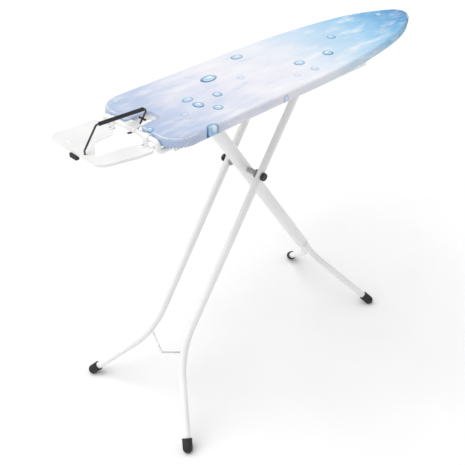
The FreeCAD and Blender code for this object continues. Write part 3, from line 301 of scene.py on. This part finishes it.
# %% Powder coat
white_paint, wire, where = begin("powder_coat", (0.86, 0.86, 0.85), Coat_Weight=0.35, Coat_Roughness=0.12)
peel = noise(wire, where, 900.0, 2.0)
drift = noise(wire, where, 14.0, 3.0)
drive(white_paint,
      Base_Color=drift.band(0.3, 0.75).tint((0.85, 0.85, 0.845, 1), (0.89, 0.89, 0.885, 1)),
      Roughness=0.3 + 0.12 * drift + 0.06 * peel,
      Normal=bump(wire, peel, 0.00012, 0.6))

# %% [markdown]
# ### Zinc-plated steel and dark wire
#
# Pins, screws and rods are zinc plated: a cool grey metal with cloudy crystals. The wire
# that the iron leans on is drawn steel with a darker skin, and drawing leaves fine lines.
# Both are full metals, so the colour is the colour of their reflection.

# %% Zinc and wire
zinc_steel, wire, where = begin("zinc_plate", (0.62, 0.63, 0.65), Metallic=1.0)
crystals = wire.node("ShaderNodeTexVoronoi", {}, {"Vector": where, "Scale": 260.0})
cloud = noise(wire, where, 60.0, 4.0)
drive(zinc_steel,
      Base_Color=cloud.band(0.25, 0.8).tint((0.50, 0.51, 0.53, 1), (0.72, 0.73, 0.75, 1)),
      Roughness=0.28 + 0.14 * crystals + 0.1 * cloud,
      Normal=bump(wire, crystals, 0.00008, 0.3))

dark_wire, wire, where = begin("drawn_wire", (0.10, 0.095, 0.09), Metallic=1.0)
drawn = noise(wire, where, 700.0, 2.0)
patches = noise(wire, where, 45.0, 3.0)
drive(dark_wire,
      Base_Color=patches.band(0.3, 0.75).tint((0.06, 0.057, 0.055, 1), (0.17, 0.16, 0.155, 1)),
      Roughness=0.26 + 0.16 * drawn,
      Normal=bump(wire, drawn, 0.0001, 0.5))

# %% [markdown]
# ### Rubber and plastic
#
# Feet are soft black rubber: dull, very slightly grey where they are handled, with the
# fine grain of the mould. Caps and the sleeve of the rest are moulded plastic, which is
# smoother and catches a small highlight. They are almost the same colour, so roughness
# and grain are what tell them apart.

# %% Rubber and plastics
def moulded(name, dark, light, roughness, grain_scale, grain_height):
    """A moulded finish: two close greys, mottled, with a fine grain."""
    material, wire, where = begin(name, light)
    grain = noise(wire, where, grain_scale, 2.0)
    handled = noise(wire, where, 55.0, 3.0)
    drive(material,
          Base_Color=handled.band(0.3, 0.75).tint((*dark, 1), (*light, 1)),
          Roughness=roughness + 0.14 * handled,
          Normal=bump(wire, grain, grain_height, 0.5))
    return material


black_rubber = moulded("black_rubber", (0.012, 0.012, 0.013), (0.028, 0.028, 0.030), 0.62, 1400.0, 0.00012)
black_plastic = moulded("black_plastic", (0.010, 0.010, 0.011), (0.020, 0.020, 0.022), 0.28, 2200.0,
                        0.00006)
grey_plastic = moulded("grey_plastic", (0.36, 0.36, 0.365), (0.45, 0.45, 0.455), 0.40, 1800.0, 0.00008)

# %% [markdown]
# ## Finishes on the solid parts
#
# Each solid part of the frame keeps its shape and gets its finish through its material
# slots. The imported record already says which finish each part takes, so one table from
# the record's slot to the material here covers them all.

# %% Assign the finishes
felt, wire, where = begin("needled_felt", (0.80, 0.79, 0.76), Roughness=0.95, Sheen_Weight=0.4)
fibres = noise(wire, where, 420.0, 5.0, 0.7)
drive(felt, Base_Color=fibres.band(0.3, 0.7).tint((0.70, 0.69, 0.66, 1), (0.86, 0.85, 0.82, 1)),
      Normal=bump(wire, fibres, 0.0006, 0.7))

FINISHES = {"white_paint": white_paint, "zinc_steel": zinc_steel, "dark_wire": dark_wire,
            "black_rubber": black_rubber, "black_plastic": black_plastic,
            "grey_plastic": grey_plastic, "felt": felt, "cover_cloth": felt}


def finish_with(piece, material):
    """Gives the whole piece one material."""
    if not piece.material_slots:
        piece.data.materials.append(material)
    for material_slot in piece.material_slots:
        material_slot.material = material


for part in frame["record"]["subparts"]:
    solid = frame["nodes"][part["node"]]
    finish_with(solid, FINISHES[part["material_slot"]])
print("finished", len(frame["nodes"]), "solid parts")

# %% [markdown]
# ## The outline of the top
#
# Cover and felt are both cut to the board's outline: straight sides, long tapered curves
# to a small round nose, and a notch in the wide end where the iron rest swings down. It
# could be drawn again by hand, but the frame holds it already. The flat top face of the
# solid cover is bounded by exactly that line, so a merged copy of it is walked edge by
# edge, and the line is then divided evenly.

# %% Walk the outline
COLUMN_STEP = 2.6 * MM
TURN_REACH = 6


def top_loop(solid):
    """The corners round the flat top of a solid, in order, counter-clockwise from above."""
    mesh = bmesh.new()
    mesh.from_mesh(solid.data)
    bmesh.ops.remove_doubles(mesh, verts=mesh.verts, dist=0.01 * MM)
    top = max(vertex.co.z for vertex in mesh.verts)
    flat = {face for face in mesh.faces if all(vertex.co.z > top - 0.01 * MM for vertex in face.verts)}
    rim = [edge for edge in mesh.edges if sum(face in flat for face in edge.link_faces) == 1]
    following = {}
    for edge in rim:
        for vertex in edge.verts:
            following.setdefault(vertex, []).append(edge.other_vert(vertex))
    start = rim[0].verts[0]
    order = [start]
    before, here = start, following[start][0]
    while here is not start:
        order.append(here)
        ahead = [vertex for vertex in following[here] if vertex is not before]
        before, here = here, ahead[0]
    loop = np.array([(vertex.co.x, vertex.co.y) for vertex in order])
    mesh.free()
    turned = np.roll(loop, -1, axis=0)
    area = (loop[:, 0] * turned[:, 1] - turned[:, 0] * loop[:, 1]).sum() / 2
    return (loop if area > 0 else loop[::-1]), top, abs(area)


def divide(loop, step):
    """The same closed line in even steps."""
    closed = np.vstack([loop, loop[:1]])
    along = np.concatenate([[0], np.cumsum(np.linalg.norm(np.diff(closed, axis=0), axis=1))])
    count = int(round(along[-1] / step))
    places = np.linspace(0, along[-1], count, endpoint=False)
    return np.stack([np.interp(places, along, closed[:, axis]) for axis in (0, 1)], axis=1)


corners, board_top, top_area = top_loop(frame["nodes"]["cover"])
rim_line = divide(corners, COLUMN_STEP)
tangents = np.roll(rim_line, -3, axis=0) - np.roll(rim_line, 3, axis=0)
tangents /= np.linalg.norm(tangents, axis=1)[:, None]
outward = np.stack([tangents[:, 1], -tangents[:, 0]], axis=1)
ahead_turn = np.roll(tangents, -TURN_REACH, axis=0)
behind_turn = np.roll(tangents, TURN_REACH, axis=0)
turned_by = behind_turn[:, 0] * ahead_turn[:, 1] - behind_turn[:, 1] * ahead_turn[:, 0]
turning = np.arcsin(np.clip(turned_by, -1, 1))
print("outline columns", len(rim_line), "top", round(board_top, 4), "area", round(top_area, 4))

# %% [markdown]
# ## Felt pad
#
# Under the cover lies a pad of needled felt. It is seen only through the vent holes from
# below, but it is soft, so it is puffed like a cushion: a slightly smaller copy of the
# solid is remeshed evenly, inflated for a few frames as cloth, and capped so that it
# stays in its space.

# %% A helper that inflates
def points_of(piece):
    """The points of a piece, one row each."""
    count = len(piece.data.vertices)
    points = np.empty(count * 3, np.float32)
    piece.data.vertices.foreach_get("co", points)
    return points.reshape(-1, 3).copy()


def hold_back(piece, start_points, cap):
    """Limits how far each point may have moved from where it started."""
    moved = points_of(piece) - start_points
    far = np.linalg.norm(moved, axis=1)
    share = np.where(far > cap, cap / np.maximum(far, 1e-9), 1.0)
    capped = start_points + moved * share[:, None]
    piece.data.vertices.foreach_set("co", capped.astype(np.float32).ravel())
    piece.data.update()


def run_cloth(piece, modifier_name, frames):
    """Steps the scene through the simulation and applies its last frame."""
    for number in range(1, frames + 1):
        scene.frame_set(number)
    select_only(piece)
    bpy.ops.object.modifier_apply(modifier=modifier_name)
    scene.frame_set(1)


# %% Make the pad
PAD_SHRINK = 0.4 * MM
PAD_VOXEL = 3 * MM
PAD_CAP = 0.5 * MM
PAD_FRAMES = 10
PAD_PRESSURE = 4

pad_low, pad_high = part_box("foam_pad")
select_only(frame["nodes"]["foam_pad"])
bpy.ops.object.duplicate()
pad = new_piece("felt_pad")
select_only(pad)
bpy.ops.object.parent_clear(type="CLEAR_KEEP_TRANSFORM")
bpy.ops.object.mode_set(mode="EDIT")
bpy.ops.mesh.select_all(action="SELECT")
bpy.ops.mesh.remove_doubles(threshold=0.01 * MM)
bpy.ops.object.mode_set(mode="OBJECT")
for key in list(pad.keys()):
    if key.startswith("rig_"):
        del pad[key]
pad_middle = (pad_low + pad_high) / 2
pad_size = pad_high - pad_low
for vertex in pad.data.vertices:
    for axis in range(3):
        share = 1 - 2 * PAD_SHRINK / pad_size[axis]
        vertex.co[axis] = pad_middle[axis] + (vertex.co[axis] - pad_middle[axis]) * share
remesh = pad.modifiers.new("even", "REMESH")
remesh.mode = "VOXEL"
remesh.voxel_size = PAD_VOXEL
bpy.ops.object.modifier_apply(modifier=remesh.name)
before = points_of(pad)
puff = pad.modifiers.new("puff", "CLOTH")
puff.settings.use_pressure = True
puff.settings.uniform_pressure_force = PAD_PRESSURE
puff.settings.effector_weights.gravity = 0
run_cloth(pad, puff.name, PAD_FRAMES)
hold_back(pad, before, PAD_CAP)
finish_with(pad, felt)
bpy.ops.object.shade_smooth()
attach(pad, "board")
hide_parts("foam_pad")
print("felt pad faces", len(pad.data.polygons))

# %% [markdown]
# ## The cover's section
#
# A cover is cut flat, about 40 mm larger than the board all round. It is turned down over
# the edge and a drawn cord pulls its hem in under the rim. So every cut across the edge
# shows the same section: flat, a soft roll over the felt, a short skirt, a small roll, and
# the hem lying under the rim. The section is built from turning angles along its length,
# because then the same section can also be unrolled to the flat cut, without changing its
# length. In the notch the cloth has no spare width: there it is bound just below the edge,
# and the white rim shows under it.

# %% The section and the flat cut
ROW_STEP = 1.3 * MM
FLAT_REACH = 8 * MM
EDGE_ROLL = 7 * MM
SKIRT_STRAIGHT = 16.5 * MM
HEM_ROLL = 2.5 * MM
HEM_REACH = 12 * MM
NOTCH_HALF = 36 * MM
NOTCH_END = 80 * MM
NOTCH_SHARE = 0.36

stretches = [(FLAT_REACH - EDGE_ROLL, 0.0, 0.0), (EDGE_ROLL * math.pi / 2, 0.0, 90.0),
             (SKIRT_STRAIGHT, 90.0, 90.0), (HEM_ROLL * math.pi / 2, 90.0, 180.0), (HEM_REACH, 180.0, 180.0)]
section_length = sum(length for length, _, _ in stretches)
row_count = int(round(section_length / ROW_STEP)) + 1
row_along = np.linspace(0, section_length, row_count)
joints_along = np.concatenate([[0], np.cumsum([length for length, _, _ in stretches])])
row_turn = np.zeros(row_count)
for index, (length, start_turn, end_turn) in enumerate(stretches):
    inside = (row_along >= joints_along[index]) & (row_along <= joints_along[index + 1] + 1e-9)
    share = (row_along[inside] - joints_along[index]) / length
    row_turn[inside] = np.radians(start_turn + share * (end_turn - start_turn))


def section(flatness, tightest=math.pi):
    """Outward and downward places of the section's rows; flatness 1 is the flat cut."""
    turn = np.minimum(row_turn, tightest) * (1 - flatness)
    middle = (turn[1:] + turn[:-1]) / 2
    step = np.diff(row_along)
    out = np.concatenate([[0], np.cumsum(step * np.cos(middle))]) - FLAT_REACH
    down = np.concatenate([[0], np.cumsum(step * np.sin(middle))])
    return out, down


end_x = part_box("cover")[0].x
in_notch = (np.abs(rim_line[:, 1]) < NOTCH_HALF) & (rim_line[:, 0] < end_x + NOTCH_END)
spare = 1.0 - in_notch.astype(float)
SPARE_BLUR = 9
BLUR_PASSES = 3
for _ in range(BLUR_PASSES):
    spare = np.convolve(np.concatenate([spare[-SPARE_BLUR:], spare, spare[:SPARE_BLUR]]),
                        np.ones(2 * SPARE_BLUR + 1) / (2 * SPARE_BLUR + 1), "valid")
print("section", round(section_length / MM, 1), "mm in", row_count, "rows; spare columns", int(spare.sum()))

# %% [markdown]
# ## Sewing the cover
#
# The rows and columns now make the edge of the cover as a grid, once wrapped round the
# board and once as it was cut. Both are kept: the wrapped one is the mesh, and the cut one
# is a shape key that the cloth simulation uses as its rest shape. Round the corners the
# cut edge is longer than the wrapped one, so the simulation has to put the spare cloth
# somewhere, and it makes the same small gathers as a real elastic hem.

# %% The grid of the edge
PLEAT_STEP = 8.5 * MM
PLEAT_SIDE = 0.25 * MM
PLEAT_CORNER = 2.2 * MM
PLEAT_SEED = 7
PLEAT_WANDER = 0.16
FALL_POWER = 1.5
TURN_FULL = math.radians(20)

columns = len(rim_line)
wrapped = np.empty((row_count, columns, 3))
cut = np.empty((row_count, columns, 3))
flat_out, _ = section(1.0)
straight_out, straight_down = section(0.0, math.pi / 2)
notch_out = np.interp(row_along * NOTCH_SHARE, row_along, straight_out)
notch_down = np.interp(row_along * NOTCH_SHARE, row_along, straight_down)
hem_out, hem_down = section(0.0)
for column in range(columns):
    share = spare[column]
    down_out = notch_out + share * (hem_out - notch_out)
    down_z = notch_down + share * (hem_down - notch_down)
    unrolled_out, unrolled_down = section(share, math.pi if share > 0.5 else math.pi / 2)
    base = rim_line[column]
    wrapped[:, column, :2] = base + np.outer(down_out, outward[column])
    wrapped[:, column, 2] = board_top - down_z
    cut[:, column, :2] = base + np.outer(unrolled_out, outward[column])
    cut[:, column, 2] = board_top - unrolled_down

dice = np.random.default_rng(PLEAT_SEED)
column_along = np.arange(columns) * COLUMN_STEP
wander = np.cumsum(dice.normal(0, PLEAT_WANDER, columns))
wander -= np.linspace(0, wander[-1], columns)
waves = np.sin(2 * np.pi * column_along / PLEAT_STEP + wander)
fall = np.clip((row_along - EDGE_ROLL) / SKIRT_STRAIGHT, 0, 1) ** FALL_POWER
bend_share = np.clip(turning / TURN_FULL, 0, 1)
pleat_height = PLEAT_SIDE + (PLEAT_CORNER - PLEAT_SIDE) * bend_share
push = np.outer(fall, pleat_height * waves * spare)
wrapped[:, :, :2] += push[:, :, None] * outward[None, :, :]
print("edge grid", row_count, "x", columns)

# %% [markdown]
# The middle of the cover is one flat face inside the edge grid. A single face can't wave,
# so it is cut into squares with bisections, one plane at a time, as a knife would cut
# pastry. Only the middle face is selected, but its neighbours share the cut edges, so no
# crack opens between them.

# %% Join the edge and the middle
SQUARE = 22 * MM
FLAT_WITHIN = 0.01 * MM


def grid_faces(rows, columns):
    """Quads of a grid that closes round on itself, wound to face outwards."""
    faces = []
    for row in range(rows - 1):
        for column in range(columns):
            ahead = (column + 1) % columns
            faces.append((row * columns + column, (row + 1) * columns + column,
                          (row + 1) * columns + ahead, row * columns + ahead))
    return faces


def in_the_middle(face):
    """Whether a face is the flat middle, or a square already cut from it, and not in the edge grid."""
    if face.normal.z < 0.9 or face.calc_center_median().z < board_top - FLAT_WITHIN:
        return False
    highest = max(vertex.index for vertex in face.verts)
    return len(face.verts) > 3 and (highest >= row_count * columns or highest < columns)


cover_mesh = bpy.data.meshes.new("board_cover")
cover_mesh.from_pydata([Vector(point) for point in wrapped.reshape(-1, 3)], [],
                       grid_faces(row_count, columns) + [list(range(columns))])
cover = bpy.data.objects.new("board_cover", cover_mesh)
scene.collection.objects.link(cover)
select_only(cover)
bpy.ops.object.mode_set(mode="EDIT")
for axis, direction in ((0, (1, 0, 0)), (1, (0, 1, 0))):
    place = cad_low[axis] + SQUARE / 2
    while place < cad_high[axis]:
        bpy.ops.mesh.select_all(action="DESELECT")
        editing = bmesh.from_edit_mesh(cover_mesh)
        editing.verts.ensure_lookup_table()
        for face in editing.faces:
            if in_the_middle(face):
                face.select = True
        bmesh.update_edit_mesh(cover_mesh)
        point = [0.0, 0.0, board_top]
        point[axis] = place
        bpy.ops.mesh.bisect(plane_co=point, plane_no=direction)
        place += SQUARE
bpy.ops.object.mode_set(mode="OBJECT")
cover_points = points_of(cover)
grid_count = row_count * columns
shift = np.abs(cover_points[:grid_count] - wrapped.reshape(-1, 3)).max()
print("cover faces", len(cover_mesh.polygons), "grid kept within", round(float(shift / MM), 4), "mm")

# %% [markdown]
# ## Gathering the cover
#
# The cloth simulation needs three things: what is held, what it may not go through, and
# how large the cloth was cut. Along the straight sides the cut edge is as long as the
# wrapped one, so nothing buckles there. Only the strips round the two wide-end corners and
# round the nose are simulated, which takes seconds where the whole cover takes minutes.
# Each strip is held along its flat top, along its hem, as the drawn cord holds it, and at
# its two ends. A plain form in the shape of the rim stands in for the board.

# %% Find the strips that gather
TURN_ENOUGH = math.radians(6)
STRIP_MARGIN = 12
SPARE_ENOUGH = 0.9

curved = (turning > TURN_ENOUGH) & (spare > SPARE_ENOUGH)
gathers = np.convolve(np.concatenate([curved[-STRIP_MARGIN:], curved, curved[:STRIP_MARGIN]]).astype(float),
                   np.ones(2 * STRIP_MARGIN + 1), "valid") > 0
gathers &= spare > SPARE_ENOUGH
print("columns that gather", int(gathers.sum()), "of", columns)

# %% Simulate the gathers
FORM_INSET = 3.2 * MM
FORM_DROP = 9 * MM
FORM_DEPTH = 14 * MM
HELD_ROWS = 3
END_COLUMNS = 2
HEM_HELD_ROWS = 4
GATHER_FRAMES = 18
GATHER_CAP = 6 * MM


def board_form():
    """A plain solid of the rim, for the cloth to lie against."""
    line = rim_line[::3] - FORM_INSET * outward[::3]
    mesh = bpy.data.meshes.new("board_form")
    mesh.from_pydata([(x, y, board_top - FORM_DROP) for x, y in line], [], [list(range(len(line)))])
    form = bpy.data.objects.new("board_form", mesh)
    scene.collection.objects.link(form)
    select_only(form)
    bpy.ops.object.mode_set(mode="EDIT")
    bpy.ops.mesh.select_all(action="SELECT")
    bpy.ops.mesh.extrude_region_move(TRANSFORM_OT_translate={"value": (0, 0, -FORM_DEPTH)})
    bpy.ops.mesh.select_all(action="SELECT")
    bpy.ops.mesh.normals_make_consistent(inside=False)
    bpy.ops.object.mode_set(mode="OBJECT")
    bpy.ops.object.modifier_add(type="COLLISION")
    form.collision.thickness_outer = 1 * MM
    form.collision.cloth_friction = 20
    return form


def gathered_strips():
    """The strips' points after the simulation, and their numbers in the edge grid."""
    faces = [face for face in grid_faces(row_count, columns)
             if all(gathers[index % columns] for index in face)]
    used = np.unique(np.array(faces))
    renumbered = {int(old): new for new, old in enumerate(used)}
    mesh = bpy.data.meshes.new("strips")
    mesh.from_pydata([Vector(point) for point in cover_points[used]], [],
                     [[renumbered[index] for index in face] for face in faces])
    strips = bpy.data.objects.new("strips", mesh)
    scene.collection.objects.link(strips)
    inner = gathers & np.roll(gathers, END_COLUMNS) & np.roll(gathers, -END_COLUMNS)
    free = np.zeros((row_count, columns), bool)
    free[HELD_ROWS:row_count - HEM_HELD_ROWS, inner] = True
    held = strips.vertex_groups.new(name="held")
    held.add([new for new, old in enumerate(used) if not free.ravel()[old]], 1.0, "REPLACE")
    select_only(strips)
    strips.shape_key_add(name="wrapped")
    cut_key = strips.shape_key_add(name="cut")
    cut_key.data.foreach_set("co", cut.reshape(-1, 3)[used].astype(np.float32).ravel())
    gather = strips.modifiers.new("gather", "CLOTH")
    cloth = gather.settings
    cloth.quality = 5
    cloth.mass = 0.15
    cloth.tension_stiffness = 20
    cloth.compression_stiffness = 20
    cloth.shear_stiffness = 8
    cloth.bending_stiffness = 0.02
    cloth.air_damping = 2
    cloth.vertex_group_mass = held.name
    cloth.rest_shape_key = cut_key
    cloth.effector_weights.gravity = 0.1
    gather.collision_settings.distance_min = 1 * MM
    gather.collision_settings.use_self_collision = False
    gather.point_cache.frame_end = GATHER_FRAMES
    for number in range(1, GATHER_FRAMES + 1):
        scene.frame_set(number)
    shown = strips.evaluated_get(bpy.context.evaluated_depsgraph_get())
    points = points_of(shown)
    scene.frame_set(1)
    bpy.data.objects.remove(strips)
    return used, points


form = board_form()
used, points = gathered_strips()
bpy.data.objects.remove(form)
moves = points - cover_points[used]
far = np.linalg.norm(moves, axis=1)
moves *= np.minimum(1, GATHER_CAP / np.maximum(far, 1e-9))[:, None]
cover_points[used] += moves
cover_mesh.vertices.foreach_set("co", cover_points.astype(np.float32).ravel())
print("gathers moved up to", round(float(far.max() / MM), 2), "mm, on average",
      round(float(far.mean() / MM), 2), "mm")

# %% [markdown]
# A simulation may leave a few points a little inside the metal rim. Each point of the
# skirt is compared with the nearest column of the outline and pushed back outside, which
# costs nothing and makes sure that the metal never shows through the cloth.

# %% Keep the cloth outside the rim
CLEAR = 0.1 * MM
tree_of_rim = KDTree(columns)
for index, (x, y) in enumerate(rim_line):
    tree_of_rim.insert((x, y, 0), index)
tree_of_rim.balance()
cover_points = points_of(cover)
skirt_rows = np.flatnonzero((row_turn >= math.radians(89)) & (row_turn <= math.radians(91)))
pushed = 0
for row in skirt_rows:
    for column in range(columns):
        point = cover_points[row * columns + column]
        _, nearest, _ = tree_of_rim.find((point[0], point[1], 0))
        out = float(np.dot(point[:2] - rim_line[nearest], outward[nearest]))
        if out < CLEAR:
            point[:2] += (CLEAR - out) * outward[nearest]
            pushed += 1
cover_mesh.vertices.foreach_set("co", cover_points.astype(np.float32).ravel())
cover_mesh.update()
print("pushed out", pushed)

# %% [markdown]
# ## The printed cotton
#
# The print belongs to the cut cloth, not to the board, so its drops wrap over the edge.
# That needs a map from each point to its place on the flat cut: a UV map in metres, read
# by the material in place of Object coordinates.

# %% Map the flat cut
CUT_MAP = "flat_cut"
flat_places = cover_points[:, :2].copy()
flat_grid = rim_line[None, :, :] + flat_out[:, None, None] * outward[None, :, :]
flat_places[:grid_count] = flat_grid.reshape(-1, 2)
uv_layer = cover_mesh.uv_layers.new(name=CUT_MAP)
loop_vertex = np.empty(len(cover_mesh.loops), np.int32)
cover_mesh.loops.foreach_get("vertex_index", loop_vertex)
uv_layer.data.foreach_set("uv", flat_places[loop_vertex].astype(np.float32).ravel())
flat_edge = rim_line + flat_out[-1] * outward * spare[:, None]
flat_turned = np.roll(flat_edge, -1, axis=0)
CUT_AREA = abs((flat_edge[:, 0] * flat_turned[:, 1] - flat_turned[:, 0] * flat_edge[:, 1]).sum()) / 2
cut_size = flat_edge.max(axis=0) - flat_edge.min(axis=0)
print("flat cut", [round(float(value), 3) for value in cut_size], "area", round(float(CUT_AREA), 4))

# %% [markdown]
# ### The print
#
# The cotton is printed like pale water: lavender at the wide end, almost white in the
# middle, and a clear blue at the nose, with scattered drops. Painting it as an image is
# the usual way, but a procedural print stays sharp at any distance. The wash is a ramp
# along the board, bent by noise; each drop is a small ellipse in its own coordinates, and
# the shader keeps the nearest drop, so one drawing of a drop serves them all.

# %% Wash of colour
BOARD_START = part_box("cover")[0].x
BOARD_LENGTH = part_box("cover")[1].x - BOARD_START
print_cloth, wire, _ = begin("printed_cotton", (0.8, 0.85, 0.95), Roughness=0.9, Sheen_Weight=0.15)
place = wire.node("ShaderNodeUVMap", {"uv_map": CUT_MAP})
slow = wire.node("ShaderNodeTexNoise", {}, {"Vector": place, "Scale": 7.0, "Detail": 4.0}, out=0)
streak_place = wire.node("ShaderNodeMapping", {}, {"Vector": place, "Rotation": (0, 0, math.radians(35)),
                                                   "Scale": (3.2, 11.0, 1.0)})
streaks = wire.node("ShaderNodeTexNoise", {}, {"Vector": streak_place, "Scale": 2.2, "Detail": 6.0,
                                               "Roughness": 0.6})
from_start = wire.node("ShaderNodeSeparateXYZ", {}, {"Vector": place}, out=0)
across = wire.node("ShaderNodeSeparateXYZ", {}, {"Vector": place}, out=1)
along = (from_start - BOARD_START) / BOARD_LENGTH
bent = along + 0.16 * (slow - 0.5) + 0.06 * (streaks - 0.5)
WASH = [(0.00, (0.42, 0.51, 0.70, 1)), (0.08, (0.50, 0.57, 0.73, 1)), (0.18, (0.66, 0.69, 0.80, 1)),
        (0.32, (0.78, 0.77, 0.83, 1)), (0.50, (0.74, 0.77, 0.84, 1)), (0.64, (0.52, 0.68, 0.82, 1)),
        (0.80, (0.28, 0.55, 0.78, 1)), (0.92, (0.12, 0.38, 0.66, 1)), (1.00, (0.05, 0.23, 0.50, 1))]
wash = wire.node("ShaderNodeValToRGB", {"stops": WASH}, {"Fac": bent})
pale = streaks.band(0.46, 0.72) * 0.7
washed = pale.tint(wash, (0.86, 0.86, 0.88, 1))
shade = streaks.band(0.46, 0.32) * 0.35
washed = shade.tint(washed, (0.40, 0.55, 0.75, 1))
rosy = slow.band(0.55, 0.75) * (1 - along.band(0.45, 0.7)) * 0.4
washed = rosy.tint(washed, (0.80, 0.72, 0.77, 1))

# %% Drops
# Each drop: its place along and across from the wide end's middle and its half sizes, all in mm,
# then its turn in degrees and its strength.
DROPS = [
    (455, 105, 21, 15, 0, 0.8), (300, 55, 28, 18, 5, 1.0), (250, -30, 14, 14, 20, 0.9),
    (175, 0, 18, 13, 5, 0.7), (175, -40, 15, 17, 0, 1.0), (200, -85, 14, 14, 0, 0.8),
    (115, -55, 13, 11, 0, 0.35), (120, -160, 22, 26, 0, 1.0), (5, -55, 10, 12, 0, 0.9),
    (365, 0, 12, 11, 0, 0.3), (760, 15, 15, 14, 25, 0.9), (660, -55, 17, 17, 20, 1.0),
    (550, -45, 18, 15, 0, 0.8), (550, -100, 12, 13, 0, 0.55), (485, -95, 10, 10, 0, 0.3),
    (1010, 30, 16, 14, 0, 0.8), (380, -165, 10, 14, 0, 0.6), (40, 120, 12, 12, 0, 0.3),
]
nearest_drop = None
nearest_far = None
strongest = None
for drop_x, drop_y, half_long, half_wide, turn, strength in DROPS:
    local = wire.node("ShaderNodeMapping", {"vector_type": "TEXTURE"}, {
        "Vector": place, "Location": (BOARD_START + drop_x * MM, drop_y * MM, 0),
        "Rotation": (0, 0, math.radians(turn)), "Scale": (half_long * MM, half_wide * MM, 1)})
    far = wire.node("ShaderNodeVectorMath", {"operation": "LENGTH"}, {0: local}, out=1)
    if nearest_far is None:
        nearest_drop, nearest_far = local, far
        strongest = wire.node("ShaderNodeValue")
        strongest.socket.default_value = strength
        continue
    closer = wire.maths("LESS_THAN", far, nearest_far)
    nearest_drop = wire.node("ShaderNodeMix", {"data_type": "VECTOR"},
                             {0: closer, 4: nearest_drop, 5: local}, out=1)
    nearest_far = wire.maths("MINIMUM", far, nearest_far)
    strongest = strongest + closer * (strength - strongest)

# %% Draw one drop
wobble = wire.node("ShaderNodeTexNoise", {}, {"Vector": place, "Scale": 60.0, "Detail": 1.0}, out=0)
ring = nearest_far + 0.16 * (wobble - 0.5)
within_x = wire.node("ShaderNodeSeparateXYZ", {}, {"Vector": nearest_drop}, out=0)
within_y = wire.node("ShaderNodeSeparateXYZ", {}, {"Vector": nearest_drop}, out=1)
side = 0.5 - 0.5 * (0.75 * within_x + 0.66 * within_y)
inside = ring.band(1.0, 0.9)
edge = ring.band(0.52, 0.80) * inside
deep = edge * (0.55 + 0.45 * side.band(0.35, 0.85))
core = ring.band(0.85, 0.2) * side.band(0.2, 0.6) * 0.5
glint_far = wire.node("ShaderNodeVectorMath", {"operation": "DISTANCE"},
                      {0: nearest_drop, 1: (0.28, 0.25, 0)}, out=1)
glint = glint_far.band(0.42, 0.2)
printed = (inside * strongest * 0.6).tint(washed, (0.50, 0.73, 0.90, 1))
printed = (core * strongest).tint(printed, (0.10, 0.42, 0.72, 1))
printed = (deep * strongest).tint(printed, (0.01, 0.13, 0.32, 1))
printed = (glint * strongest * 0.7).tint(printed, (0.90, 0.95, 0.98, 1))

# %% Dark currents at the nose
current_place = wire.node("ShaderNodeMapping", {}, {"Vector": place, "Rotation": (0, 0, math.radians(-20)),
                                                    "Scale": (1.0, 2.2, 1.0)})
currents = wire.node("ShaderNodeTexNoise", {"noise_dimensions": "3D"},
                     {"Vector": current_place, "Scale": 9.0, "Detail": 5.0, "Distortion": 1.6})
near_nose = along.band(0.84, 0.98)
near_rim = (0.02 - across).band(0.0, 0.10)
current = currents.band(0.56, 0.62) * currents.band(0.72, 0.62)
printed = (current * near_nose * near_rim).tint(printed, (0.01, 0.17, 0.42, 1))

# %% [markdown]
# Plain-weave cotton has about twenty threads to the centimetre each way. Two waves at
# right angles make the threads, and where both are high the thread crosses over. A softer,
# wider noise gives the slight unevenness of washed cloth.

# %% Weave
THREAD = 0.55 * MM
warp = wire.maths("SINE", from_start * (2 * math.pi / THREAD))
weft = wire.maths("SINE", across * (2 * math.pi / THREAD))
weave = 0.5 + 0.25 * (warp + weft)
crumple = wire.node("ShaderNodeTexNoise", {}, {"Vector": place, "Scale": 45.0, "Detail": 4.0}, out=0)
weave_normal = bump(wire, weave, 0.00008, 0.5)
drive(print_cloth, Base_Color=printed, Roughness=0.82 + 0.12 * crumple,
      Normal=bump(wire, crumple, 0.0007, 0.35, weave_normal))
finish_with(cover, print_cloth)
print("print with", len(DROPS), "drops")

# %% [markdown]
# ## Thickness
#
# So far the cover is a skin with no thickness. A Solidify modifier thickens it inwards,
# towards the felt, so that the printed face stays where it is, and the modifier is
# applied. Smooth shading is enough here, because the rows are close together.

# %% Finish the cover
CLOTH_THICK = 0.9 * MM
select_only(cover)
thicken = cover.modifiers.new("thicken", "SOLIDIFY")
thicken.thickness = CLOTH_THICK
thicken.offset = -1
bpy.ops.object.modifier_apply(modifier=thicken.name)
bpy.ops.object.shade_smooth()
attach(cover, "board")
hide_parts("cover")
print("cover faces", len(cover.data.polygons))
